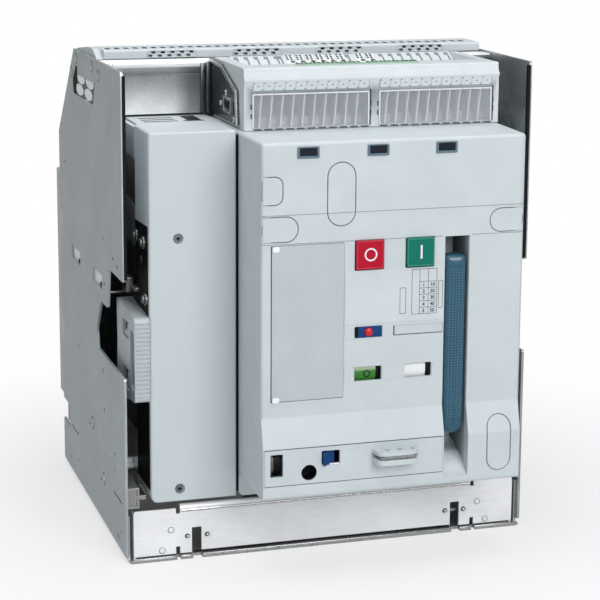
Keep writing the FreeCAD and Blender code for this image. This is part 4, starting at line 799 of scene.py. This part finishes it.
def drum_ring(drum, x, z, outer, inner):
    """A printed ring on a drum's front, following its curve."""
    back, centre_z, radius = drum
    ring = Shape()
    rims = []
    for size in (outer, inner):
        outline = circle(x, z, size, 32)
        rims.append([ring.rim((u, back - math.sqrt((radius + lift) ** 2 - (v - centre_z) ** 2), v)
                              for u, v in outline) for lift in (0.2, 0.1)])
    return ring.tube(*rims)


for name, drum, x, turn, half_angle, body, slot, finish in (
        ("open_label", FLAG_DRUM, (-0.7, 20.6), 0, 24, "contact_flag", "flag_green", "label_open"),
        ("closed_label", FLAG_DRUM, (-0.7, 20.6), 60, 24, "contact_flag", "off_red", "label_closed"),
        ("contact_drum_end", FLAG_DRUM, (20.6, 24.2), 20, 60, "contact_flag", *BLACK),
        ("spent_label", FLAG_DRUM, (48.4, 69.5), 0, 24, "charge_flag", "flag_white", "symbol_white"),
        ("charged_label", FLAG_DRUM, (48.4, 69.5), 60, 24, "charge_flag", "flag_white", "label_amber"),
        ("charge_drum_end", FLAG_DRUM, (69.5, 73.2), 20, 60, "charge_flag", *BLACK),
        ("position_label", POSITION_DRUM, (-83, -79.4), 20, 75, "position_drum", "flag_white", "olive"),
        ("position_dark", POSITION_DRUM, (-79.4, -72), 20, 75, "position_drum", *BLACK)):
    add(name, drum_patch(drum, x, turn, half_angle), body, slot, finish)
add("open_ring", drum_ring(FLAG_DRUM, 12, 189.2, 3.4, 2.4), "contact_flag", *BLACK)


# Reset button, lower panel and the neutral cover's screws

CRANK_HOLE = (-46.5, 102.5)


@pieces("switch", panel_seams=("grey_cover", "seam_dark"))
def panel_seams():
    """Shadow lines above and below the racking panel."""
    depth = (CHIN - 0.08, CHIN + 0.5)
    return boxes_at(*(((-89, 84), depth, (z, z + 0.5)) for z in (PANEL_TOP + 0.2, PANEL_FOOT - 0.5)))


@pieces("switch", cover_screw_heads=("rail_steel", "screw_dark"), cover_screw_crosses=BLACK)
def cover_screws():
    """Cross-recessed screws in the neutral cover: heads and crosses."""
    heads, crosses = Shape(), Shape()
    x = -148.5
    for z in (310.5, 69.5):
        heads.cone("y", (x, z), 3.7, 4.0, 0.2, 1.9)
        for half_width, half_height in ((1.9, 0.6), (0.6, 1.9)):
            crosses.box((x - half_width, x + half_width), (0.1, 0.6), (z - half_height, z + half_height))
    return heads, crosses


# Painted shade in the gap at the left of the reset bezel, and the button's cap
reset_gap = boxes_at(((-1.4, 1.8), (MASK - 0.75, MASK + 1), (224.8, 234.8)))
add("reset_gap", reset_gap, "switch", *BLACK)
reset_cap = Shape().dome("y", (11.75, 229.75), 4, MASK - 1.4, MASK - 3.2)
add("reset_cap", reset_cap, "reset_button", "reset_red")

# Black wall of the crank hole, painting the shade inside it, and the white sill beside the slider
socket_liner = Shape().washer("y", CRANK_HOLE, 7.45, 7.1, CHIN + 1, CHIN + 15, 32)
slider_sill = boxes_at(((-34.3, -17.2), (CHIN + 0.5, CHIN + 2.4), (108.1, 109.4)), bevel=0.2)
add("socket_liner", socket_liner, "switch", *BLACK)
add("slider_sill", slider_sill, "switch", "flag_white", "symbol_white")


# Charging handle

(LEVER_LEFT, LEVER_RIGHT), (LEVER_FACE, _), (LEVER_FOOT, LEVER_TOP) = ends("charging_handle")
LEVER_MIDDLE = (LEVER_LEFT + LEVER_RIGHT) / 2
# Each step of the rounded face: its distance inside the outline, and how far it lies behind the face
LEVER_STEPS = ((0, 15), (0, 4.4), (0.5, 3), (1.3, 2), (2.4, 1.2), (4.4, 0.6), (6.8, 0.2), (9.4, 0))
# Pips on the face: the first one's place in X and Z, their pitches, how many each way, and their radius
FIRST_PIP = (90.6, 143)
PIP_PITCHES = (3, 2.6)
PIP_COLUMNS, PIP_ROWS = 5, 55
PIP_RADIUS = 0.75


def lever_outline(inset):
    """Outline of the charging handle: a squarer top, a round foot."""
    head, foot = max(4 - inset * 0.5, 0.4), max(9.5 - inset * 0.9, 0.4)
    corners = (LEVER_LEFT + inset, LEVER_FOOT + inset, LEVER_RIGHT - inset, LEVER_TOP - inset)
    return rounded(*corners, head, 8, foot)


def lever():
    """The charging handle: rounded edges all round and a hub on the charging shaft."""
    shape = Shape()
    shape.skin([shape.level("y", lever_outline(inset), LEVER_FACE + depth) for inset, depth in LEVER_STEPS])
    hub = [(-64, 130), (-50, 128.5), (-42, 132), (-38.5, 140), (-42, 148), (-50, 151.5), (-64, 180)]
    return shape.prism("x", hub, 89, 104.1, 1)


@pieces("charging_handle", lever_dots=("handle_blue", "handle_dots"))
def lever_dots():
    """Rows of pips on the handle's face, following its curve."""
    dots = Shape()
    for row in range(PIP_ROWS):
        z = FIRST_PIP[1] + PIP_PITCHES[1] * row
        for column in range(PIP_COLUMNS):
            x = FIRST_PIP[0] + PIP_PITCHES[0] * column
            level = LEVER_FACE + 0.05 + max(abs(x - LEVER_MIDDLE) - 1.2, 0) ** 2 * 0.026
            dots.dome("y", (x, z), PIP_RADIUS, level + 0.2, level - 0.3, 8, 2)
    return dots


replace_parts(add("charging_lever", lever(), "charging_handle", "handle_blue"), "charging_handle")


# Terminal bays in the block's front. Every piece of a bay is placed from its left end.

BAY = 115
CELLS = 11
CELL_PITCH = 10.45
STRIP_ENDS = (0.9, BAY - 1)
STRIP_Z = (444.6, 453.3)


def flap_frame(left):
    """White rim moulded round a flap."""
    outer = rounded(left + 0.5, 409.9, left + BAY - 0.5, 442.1, 0.8)
    inner = rounded(left + 1.9, 410.1, left + BAY - 1.9, 440.6, 0.6)
    return Shape().ring("y", outer, inner, 1.95, 2.3)


def flap_ribs(left):
    """White ribs behind a flap, leaning to the left at the foot."""
    ribs = Shape()
    for index in range(1, CELLS):
        x = left + CELL_PITCH * index
        top = rectangle(x - 0.55, 4.6, x + 0.55, 6)
        ribs.loft("z", [(u - 3.2, v) for u, v in top], top, 410, 441.5)
    return ribs


def flap_clips(left):
    """Dark snap clips at a flap's ends and dark joints along its lower edge."""
    clips = Shape()
    right = left + BAY
    for z in (419, 427.5):
        clips.box((left - 1.3, left - 0.1), (1.7, 2.4), (z, z + 4.6), 0.2)
        clips.box((right + 0.1, right + 1.5), (1.7, 2.4), (z, z + 5.6), 0.2)
    for index in range(CELLS):
        x = left + CELL_PITCH * index
        clips.box((x + 1.6, x + 9.2), (1.6, 2.3), (408.3, 409.3))
    return clips


def flap_slit(left):
    """Narrow dark gap at a flap's right end."""
    return boxes_at(((left + BAY + 0.05, left + BAY + 0.9), (1.75, 2.4), (410, 443.5)))


def marker_strip(left):
    """Paper strip with a cell for each terminal."""
    low, high = STRIP_ENDS
    return Shape().prism("y", rectangle(left + low, STRIP_Z[0], left + high, STRIP_Z[1]), 1.2, 2.2, 0.1, 1)


def marker_lines(left):
    """Cell borders and small dots of the marker strip."""
    lines = Shape()
    first, last = left + STRIP_ENDS[0], left + STRIP_ENDS[1]
    foot, top = STRIP_Z
    width = (last - first) / CELLS
    print_depth = (1.12, 1.22)
    lines.ring("y", rectangle(first, foot, last, top),
               rectangle(first + 0.3, foot + 0.3, last - 0.3, top - 0.3), *print_depth)
    for index in range(CELLS):
        x = first + width * index
        if index:
            lines.box((x - 0.14, x + 0.14), print_depth, STRIP_Z)
        for low, high, z in ((0.7, 1.9, (451.3, 452.3)), (width - 2, width - 0.8, (445.3, 446.3)),
                             (width / 2 - 1, width / 2 + 1, (448.5, 449.3))):
            lines.box((x + low, x + high), print_depth, z)
    return lines


for side in ("left", "right"):
    flap = side + "_flap"
    bay_left = ends(flap)[0][0] - 0.3
    add(flap + "_frame", flap_frame(bay_left), flap, "clear_flap", "frame_white")
    add(flap + "_ribs", flap_ribs(bay_left), "cradle", "white_terminals")
    add(flap + "_clips", flap_clips(bay_left), "cradle", *DARK_SEAM)
    add(flap + "_slit", flap_slit(bay_left), "cradle", *BLACK)
    add(side + "_marker_strip", marker_strip(bay_left), "cradle", "grey_block", "plate_white")
    add(side + "_marker_lines", marker_lines(bay_left), "cradle", "dark_latch", "print_grey")


# Top of the block: a sloping bank with plug-in terminals, and green strips in front of it.
# The bank's foot and top are distances behind the front edges and heights.

MODULES = [-17 + 10.3 * index for index in range(6)] + [55, 65.3]
MODULE_WIDTH = 9
BANK_FOOT = (91, 459)
BANK_TOP = (106, 466.4)
# Each green strip: its ends in X and how many teeth it has
GREEN_STRIPS = ((-28, 38.5, 15), (42, 92, 12))
TOOTH_PITCH, TOOTH_WIDTH = 4.3, 2.1


def on_bank(share, lift):
    """Distance behind the front edges and height of a place up the sloping bank, raised by a lift."""
    back, z = (foot + (top - foot) * share for foot, top in zip(BANK_FOOT, BANK_TOP))
    return back - 0.44 * lift, z + 0.9 * lift


def on_slope(shape, low_x, high_x, shares, lifts):
    """A flat block lying on the bank, between two shares of its slope and two lifts."""
    corners = ((low_x, shares[0]), (high_x, shares[0]), (high_x, shares[1]), (low_x, shares[1]))
    shape.skin([shape.rim((x, *on_bank(share, lift)) for x, share in corners) for lift in lifts])


@pieces("cradle", terminal_bank=("grey_block",))
def terminal_bank():
    """Sloping back of the trough in the block's top."""
    profile = [(BANK_FOOT[0], 458.6), BANK_FOOT, BANK_TOP, (106.9, 466.4), (106.9, 458.6)]
    return Shape().prism("x", profile, -71.5, 156)


@pieces("cradle", bank_slots=("dark_latch", "seam_grey"))
def bank_slots():
    """Painted shade in the slots between the free terminal places, and beside the upper part of each on its
    left.
    """
    slots = Shape()
    places = [-65.8 + 10.1 * index for index in range(5)] + [-21.5, 47.6]
    places += [82.5 + 9.9 * index for index in range(8)]
    for x in places:
        on_slope(slots, x, x + 2, (0.02, 0.9), (-0.1, 0.06))
        on_slope(slots, x - 2.4, x, (0.6, 0.9), (-0.1, 0.06))
    return slots


def module_banks():
    """Plug-in terminals on the bank, each with screw holes and a pointer."""
    bodies, holes = Shape(), Shape()
    for x in MODULES:
        on_slope(bodies, x, x + MODULE_WIDTH, (0, 0.98), (-0.3, 0.8))
        for left in (x + 1, x + 4.9):
            for share in (0.38, 0.58, 0.78):
                on_slope(holes, left, left + 2.5, (share, share + 0.14), (0.7, 0.9))
        on_slope(holes, x + 4.4, x + 8.4, (0.1, 0.3), (0.7, 0.9))
    return bodies, holes


@pieces("cradle", green_strips=("on_green", "strip_green"), strip_teeth=("dark_latch", "teeth_dark"))
def green_strips():
    """Green plug strips in front of the modules, toothed along their rear edges."""
    strips, teeth = Shape(), Shape()
    for low, high, count in GREEN_STRIPS:
        strips.box((low, high), (17, 30), (464.9, 466.3), 0.3)
        for index in range(count):
            x = low + 1.2 + TOOTH_PITCH * index
            teeth.box((x, x + TOOTH_WIDTH), (26, 31.6), (465.6, 467), 0.2)
    return strips, teeth


module_bodies, module_holes = module_banks()
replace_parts(add("module_banks", module_bodies, "cradle", "white_terminals"), "terminal_modules")
add("module_holes", module_holes, "cradle", *DARK_SEAM)

# The block, with room cleared between its front and the bank
trough = boxes_at(((-73.05, 157.55), (33.95, 107.05), (458.45, 466.5)))
carved("block_shell", "terminal_block", "cradle", "grey_block", trough)


# Hood and cross-member. The cross-member's face lies 119 mm behind the front edges.

BEAM_FACE = ends("cross_member")[1][0]
HOOD_FACE = ends("vented_hood")[1][0]
FIRST_VENT, VENT_COUNT = -186.05, 41
VENT_PITCH, VENT_WIDTH = 9.2, 4.9
FRONT_VENTS = (-149, -63.3, 22.4, 108)
FRONT_VENT_WIDTH = 50


@pieces("cradle", top_vent_floors=BLACK)
def top_vent_floors():
    """Black floors just under the slots in the hood's top: painted shade inside them."""
    lefts = [FIRST_VENT + VENT_PITCH * index for index in range(VENT_COUNT)]
    return boxes_at(*(((left, left + VENT_WIDTH), (139.1, 151.9), (471.8, 472.85)) for left in lefts))


@pieces("cradle", beam_roll=("satin_tray",))
def beam_roll():
    """Rolled edge of the cross-member under the hood, and its flange behind the block, in a pale colour that
    paints the highlight they catch.
    """
    profile = [(119.2, 455.6), (117.8, 456.6), (117, 459), (117.4, 461.8), (119.2, 464.2)]
    return Shape().prism("x", profile, -197.5, -88).box((170, 197.5), (96, 118), (462.5, 464.2), 0.4)


@pieces("cradle", vent_rims=("grey_hood",))
def vent_rims():
    """Raised oval rims round the vents in the hood's front."""
    rims = Shape()
    for left in FRONT_VENTS:
        corners = (left, 464.9, left + FRONT_VENT_WIDTH, 472.2)
        rims.band("y", corners, 3.6, 0.8, HOOD_FACE - 0.6, HOOD_FACE + 0.2)
    return rims


@pieces("cradle", beam_flange=("zinc_sheet", "bracket_steel"))
def beam_flange():
    """Flange of the cross-member beside the terminal block."""
    flange = Shape().box((-97.5, -92.5), (116.6, BEAM_FACE), (411.5, 460), 0.4)
    return flange.box((-92, -87.2), (115.4, BEAM_FACE), (411, 461), 0.6)


@pieces("cradle", bracket_fittings=("zinc_sheet", "bright_steel"), bracket_marks=BLACK)
def bracket_details():
    """Studs, screws, an embossed frame, and a bright strip on the left bracket's turned edge that paints its
    highlight.
    """
    bright, dark = Shape(), Shape()
    face = ends("block_brackets")[0][0]
    large_screws = ((60, 437, 3), (31.7, 414.4, 3))
    for back, z, radius in ((78.7, 425.2, 2.6), (24.5, 434, 2.2), *large_screws):
        bright.dome("x", (back, z), radius, face, face - 1.6, 20)
    for back, z, _ in large_screws:
        dark.rod("x", (back, z), 1.3, face - 1.75, face - 1.3, 12)
    bright.band("x", (40, 418.5, 68, 434), 1.2, 2.5, face - 0.9, face, 0.8)
    dark.prism("x", rounded(45, 423, 60, 430, 0.6), face - 0.5, face)
    # Bright strip along the turned edge: painted highlight
    edge = [(17, 411), (17, 413), (21, 443.6), (78, 462.6), (116, 463.4), (116, 460.4), (78, 458.6),
            (25.5, 440.6), (20.6, 411)]
    bright.prism("x", edge, face - 1.2, face)
    return bright, dark


# Dark screen inside the hood, seen through its vents: painted shade of the hood's inside
hood_screen = boxes_at(((-185, 190), (130, 168), (465.2, 468.8)))
add("hood_screen", hood_screen, "cradle", "dark_latch", "seam_grey")

# Bend line and end screw of the cross-member
beam_line = boxes_at(((-197, -98), (BEAM_FACE - 0.2, BEAM_FACE), (448.6, 449.4)))
add("beam_line", beam_line, "cradle", "zinc_sheet", "dark_steel")
beam_screws = Shape().dome("y", (-186, 459.5), 3.4, BEAM_FACE, BEAM_FACE - 2.4)
add("beam_screws", beam_screws, "cradle", "zinc_sheet", "bright_steel")


# Left bay: what the cut-away side of the neutral cover and the plate's window show

BAY_BOLTS = ((50, 306), (20, 304.8), (12, 252.5))


@pieces("switch", cover_lining=BLACK)
def cover_lining():
    """Black sheet behind the cut-away side of the neutral cover."""
    return Shape().prism("x", [(7.2, 68), (61, 68), (61, 319.4), (7.2, 321.6)], -175.85, -175.45)


@pieces("switch", bay_fittings=("spring_steel", "dark_steel"), bay_marks=BLACK,
        housing_ledges=("grey_cover", "seam_grey"))
def bay_fittings():
    """Bolts, a square nut on its bracket, and the ledges of the pole housing beside them."""
    bright, dark, ledges = Shape(), Shape(), Shape()
    for centre in BAY_BOLTS:
        bright.rod("x", centre, 6.2, -178.6, -175.8, 24, 0.7)
        bright.rod("x", centre, 4.2, -180.6, -178.6, 20, 0.9)
        dark.washer("x", centre, 4.9, 4.1, -178.75, -178.5)
    bright.washer("x", (35, 286), 3.4, 2.5, -176.6, -175.8)
    bright.prism("x", rounded(56, 249.5, 72, 264.5, 1.6), -186, -179, 0.9)
    bright.prism("x", rounded(36, 254.5, 58, 258.5, 1), -181.5, -176, 0.5)
    dark.rod("x", (64, 257), 4.6, -186.2, -185.8, 20)
    bright.rod("x", (90, 243), 1.4, -196.5, -176.1, 16)
    for front, rear, thick in ((381.4, 376.2, 1), (329.6, 334.6, 3.2)):
        outline = [(63, front), (103, rear), (103, rear + thick), (63, front + thick)]
        ledges.prism("x", outline, -176.7, -175.9)
    return bright, dark, ledges


@pieces("switch", cover_shelf=("grey_cover",), shelf_slots=BLACK)
def cover_shelf():
    """Pale shelf behind the top of the neutral cover, and its slots."""
    shelf = boxes_at(((-172, -92.5), (61.4, 118.6), (407.4, 409.2)), bevel=0.4)
    places = [((-163, -130), (back, back + 5)) for back in (76, 88, 100)]
    places += [((-120, -106), (80, 114)), ((-124, -104), (75, 80))]
    return shelf, boxes_at(*((x, back, (409.1, 409.26)) for x, back in places))


# Side grips

GRIP_FACE = ends("right_grip")[0][1]


def grip_details(side):
    """Round bar in the finger slot of a side grip, darker than the grip as painted shade, black hollows in
    its windows as painted shade, and blocks in them.
    """
    hollows, blocks = Shape(), Shape()
    bar = Shape().prism("x", rounded(8.4, 169, 14.6, 220.5, 3, 8), *outward(183.5, 189, side), 1.4, 3)
    for foot, top in ((210.6, 226.4), (161.6, 180.4)):
        hollows.prism("x", rectangle(27.5, foot, 53.5, top), *outward(GRIP_FACE - 3.9, GRIP_FACE - 3.5, side))
        outline = [(31, foot + 2), (47, foot + 2), (47, foot + 6.5), (36, foot + 6.5), (36, top - 2),
                   (31, top - 2)]
        blocks.prism("x", outline, *outward(GRIP_FACE - 3.6, GRIP_FACE - 0.7, side), 0.5)
    return bar, hollows, blocks


for side, word in ((-1, "left"), (1, "right")):
    grip_bar, grip_hollows, grip_blocks = grip_details(side)
    add(word + "_grip_bar", grip_bar, "switch", "grip_grey", "grip_gloss")
    add(word + "_grip_hollows", grip_hollows, "switch", *BLACK)
    add(word + "_grip_blocks", grip_blocks, "switch", "grip_grey")


# Side plates. Heads are places in the side plane: distance behind the front edges and height.

PLATE_FACE = ends("right_side_plate")[0][1]
RIVETS = ((218.5, 457), (247, 441), (135, 457), (104, 451.5))
RIVET_RADIUS = 5
SCREWS = ((160.5, 92.5), (104, 51))
SCREW_RADIUS = 6
SCREW_HEIGHT = 2.5
WEB_OPENINGS = ((195, 439), (149, 439), (203, 427), (157, 427), (166, 415.5))
DARK_HOLES = ((45, 285.5), (25, 281.5), (88, 252), (293, 341))
SLOT_STARTS = (99, 214)


def domed_heads(places, radius, height):
    """Round heads on the outsides of both plates."""
    heads = Shape()
    for side in (-1, 1):
        for centre in places:
            heads.dome("x", centre, radius, (PLATE_FACE - 0.1) * side, (PLATE_FACE + height) * side, 24, 6)
    return heads


@pieces("cradle", screw_sockets=BLACK)
def screw_sockets():
    """Dark sockets in the screws' heads."""
    sockets = Shape()
    top = PLATE_FACE + SCREW_HEIGHT
    for side in (-1, 1):
        for centre in SCREWS:
            sockets.rod("x", centre, 1.9, *outward(top - 0.1, top - 0.01, side), 6)
    return sockets


@pieces("cradle", rivet_rims=DARK_SEAM)
def rivet_rims():
    """Dark rims round the rivet and screw heads of both plates: painted shade at the heads' edges."""
    rims = Shape()
    for side in (-1, 1):
        low, high = outward(PLATE_FACE - 0.2, PLATE_FACE + 0.12, side)
        for places, radius in ((RIVETS, RIVET_RADIUS), (SCREWS, SCREW_RADIUS)):
            for centre in places:
                rims.washer("x", centre, radius + 0.8, radius - 0.1, low, high)
    return rims


@pieces("cradle", edge_strips=BLACK)
def edge_strips():
    """Black strips over the inner part of the plates' front edges: painted shade."""
    return boxes_at(*((outward(196.5, 199.7, side), (-0.12, 3), (274, 462)) for side in (-1, 1)))


@pieces("cradle", lift_web=("dark_latch", "web_grey"), web_openings=("white_terminals", "trough_white"),
        window_tab=("zinc_plate",))
def lift_window():
    """Web behind the left lifting window, pale ovals in its openings that paint the light seen through them,
    and the tab along the window's top.
    """
    web = Shape().prism("x", rectangle(122, 416, 241, 452), -200.3, -198.6)
    openings = Shape()
    for back, z in WEB_OPENINGS:
        outline = [(back + 20 * u, z + 5.6 * v) for u, v in circle(0, 0, 1)]
        openings.prism("x", outline, -200.6, -200.3)
    tab_outline = [(118, 442), (212.5, 441.2), (214, 451), (124, 451), (118, 446)]
    return web, openings, Shape().prism("x", tab_outline, 0.02 - PLATE_FACE, -198.6)


@pieces("cradle", slot_linings=("white_terminals", "trough_white"))
def slot_linings():
    """Pale surfaces close behind the two slots of the left plate: painted light seen through them."""
    linings = Shape()
    for start in SLOT_STARTS:
        linings.prism("x", rectangle(start - 3, 242, start + 52, 260), -198.4, -198.1)
    return linings


@pieces("cradle", slot_corners=BLACK)
def slot_corners():
    """Painted shade on the left plate: black in the corners of the slots, in small holes, and at the rear end
    of the lifting window.
    """
    marks = Shape()
    for start in SLOT_STARTS:
        marks.prism("x", [(start, 243), (start + 24, 243), (start + 20, 248), (start, 251)], -198.6, -198.4)
    for centre in DARK_HOLES:
        marks.rod("x", centre, 1.8, -PLATE_FACE - 0.04, 0.1 - PLATE_FACE)
    window_end = [(225, 417), (242, 417), (242, 436), (220, 451), (212, 451), (216, 440)]
    return marks.prism("x", window_end, -200.7, -200.2)


rivets = domed_heads(RIVETS, RIVET_RADIUS, 1.2)
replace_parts(add("domed_rivets", rivets, "cradle", "zinc_plate", "bright_steel"), "plate_rivets")
screws = domed_heads(SCREWS, SCREW_RADIUS, SCREW_HEIGHT)
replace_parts(add("domed_screws", screws, "cradle", "rail_steel", "bright_steel"), "plate_screws")


# Tray. Each part of its foot lies between two of the notches in the pan's front lip.

LIP_PARTS = ((-192.5, -153), (-147.5, -137.5), (-126.5, 126.5), (137.5, 147.5), (153, 192.5))
TRAY_RIVETS = ((-156.9, 28.5), (-165.6, 8.8), (155.7, 27.5), (164.5, 8.4))
TRAY_SCREWS = (-141, -121.5, 121.5, 141)


@pieces("cradle", tray_rivets=("satin_tray",), tray_screw_ends=DARK_SEAM)
def tray_fittings():
    """Flush rivets and screw ends in the tray's front, with painted shade round the rivets and in the screw
    holes, and a painted glint in each hole.
    """
    bright, dark = Shape(), Shape()
    for centre in TRAY_RIVETS:
        bright.cone("y", centre, 2.3, 2.7, 1.5, 2)
        dark.washer("y", centre, 3.1, 2.7, 1.85, 2.05)
    for x in TRAY_SCREWS:
        dark.rod("y", (x, 21), 2.8, 3.2, 4, 20)
        bright.dome("y", (x + 0.7, 20.6), 1.2, 3.3, 2.4, 16, 3)
        bright.washer("y", (x, 21), 3.4, 2.85, 1, 1.4)
    return bright, dark


@pieces("cradle", tray_bead=("rail_steel", "bright_steel"))
def tray_bead():
    """Bright bead along the top of the tray's middle, and bright beads on the parts of the pan's lip that
    paint the light on its edge.
    """
    bead = Shape().rod("x", (1.9, 47.2), 1.6, -146.5, 146.5, 16)
    # Bright strips on the lip: painted highlight on its edge
    for part in LIP_PARTS:
        bead.box(part, (-0.15, 1), (0.3, 3), 0.2)
    return bead


# Dark slit above the tray's foot
add("tray_slit", boxes_at(((-134.5, 126.5), (1.75, 2.1), (4.4, 6))), "cradle", *BLACK)


# Floor, light and camera. Lamps and the camera are placed in metres.

WHITE = (1, 1, 1, 1)
LENS = 114.178
LENS_SHIFT = -0.1
CAMERA_PLACE = (-0.54497, -1.84187, 0.65092)
CAMERA_TURNS = (17.0297, 11.2067, 0.3356)


def floor():
    """Pale floor that catches the shadow and turns white to the camera."""
    bpy.ops.mesh.primitive_plane_add(size=14, location=(0, 0, 0))
    ground = bpy.context.object
    ground.name = "floor"
    tree, shader, where = new_material("floor")
    feed(tree, shader, {"Base Color": (0.8, 0.8, 0.8, 1), "Roughness": 0.8})
    ray = node(tree, "LightPath").outputs
    reach = node(tree, "VectorMath", {0: where.outputs["Object"]}, operation="LENGTH").outputs["Value"]
    far = spread(tree, reach, 0.62, 1.0, (0.25, 0.6))
    rays = {0: ray["Is Camera Ray"], 1: far, 2: ray["Is Glossy Ray"]}
    seen = node(tree, "Math", rays, operation="MULTIPLY_ADD")
    strength = spread(tree, ray["Is Glossy Ray"], 1.0, 0.42, (0, 1))
    white = node(tree, "Emission", {"Color": WHITE, "Strength": strength})
    mix = node(tree, "MixShader", {"Fac": seen.outputs["Value"], 1: shader.outputs["BSDF"],
                                   2: white.outputs["Emission"]})
    feed(tree, tree.nodes["Material Output"], {"Surface": mix.outputs["Shader"]})
    ground.data.materials.append(MATERIALS["floor"])


def world():
    """Soft surround, white to the camera; reflections see it brighter in front than behind."""
    surround = bpy.data.worlds.new("studio")
    bpy.context.scene.world = surround
    surround.use_nodes = True
    tree = surround.node_tree
    plain = feed(tree, tree.nodes["Background"], {"Color": (0.96, 0.98, 1.0, 1), "Strength": 0.27})
    ray = node(tree, "LightPath").outputs
    where = node(tree, "TexCoord")
    split = node(tree, "SeparateXYZ", {"Vector": where.outputs["Generated"]})
    mirrored = node(tree, "Background", {"Strength": spread(tree, split.outputs["Y"], 0.8, 0.3, (-0.6, 0.4))})
    white = node(tree, "Background", {"Color": WHITE})
    before = plain.outputs["Background"]
    for kind, source in (("Glossy", mirrored), ("Transmission", white), ("Camera", white)):
        light = source.outputs["Background"]
        mix = node(tree, "MixShader", {"Fac": ray[f"Is {kind} Ray"], 1: before, 2: light})
        before = mix.outputs["Shader"]
    feed(tree, tree.nodes["World Output"], {"Surface": before})


def lamp(name, place, aim, size, power):
    """A soft rectangular lamp."""
    light = bpy.data.lights.new(name, "AREA")
    light.shape = "RECTANGLE"
    light.size, light.size_y = size
    light.energy = power
    item = placed(name, light)
    item.location = place
    item.rotation_euler = (Vector(aim) - Vector(place)).to_track_quat("-Z", "Y").to_euler()


def camera():
    """The photograph's viewpoint."""
    lens = bpy.data.cameras.new("camera")
    lens.sensor_width = 36
    lens.lens = LENS
    lens.shift_y = LENS_SHIFT
    lens.clip_start = 0.1
    item = placed("camera", lens)
    item.location = CAMERA_PLACE
    yaw, pitch, roll = (math.radians(angle) for angle in CAMERA_TURNS)
    turn = Matrix.Rotation(-yaw, 3, "Z") @ Matrix.Rotation(math.pi / 2 - pitch, 3, "X")
    item.rotation_euler = (turn @ Matrix.Rotation(roll, 3, "Z")).to_euler()
    bpy.context.scene.camera = item


floor()
world()
lamp("key", (0.45, -2.3, 1.3), (0, 0, 0.25), (1.4, 1.2), 34)
lamp("top", (-0.2, -0.1, 1.9), (0, 0, 0.3), (1.6, 1.6), 22)
lamp("fill", (-1.9, -1.2, 1.5), (0, 0, 0.35), (1.4, 1.4), 2.5)
camera()
bpy.context.scene.view_settings.view_transform = "Standard"
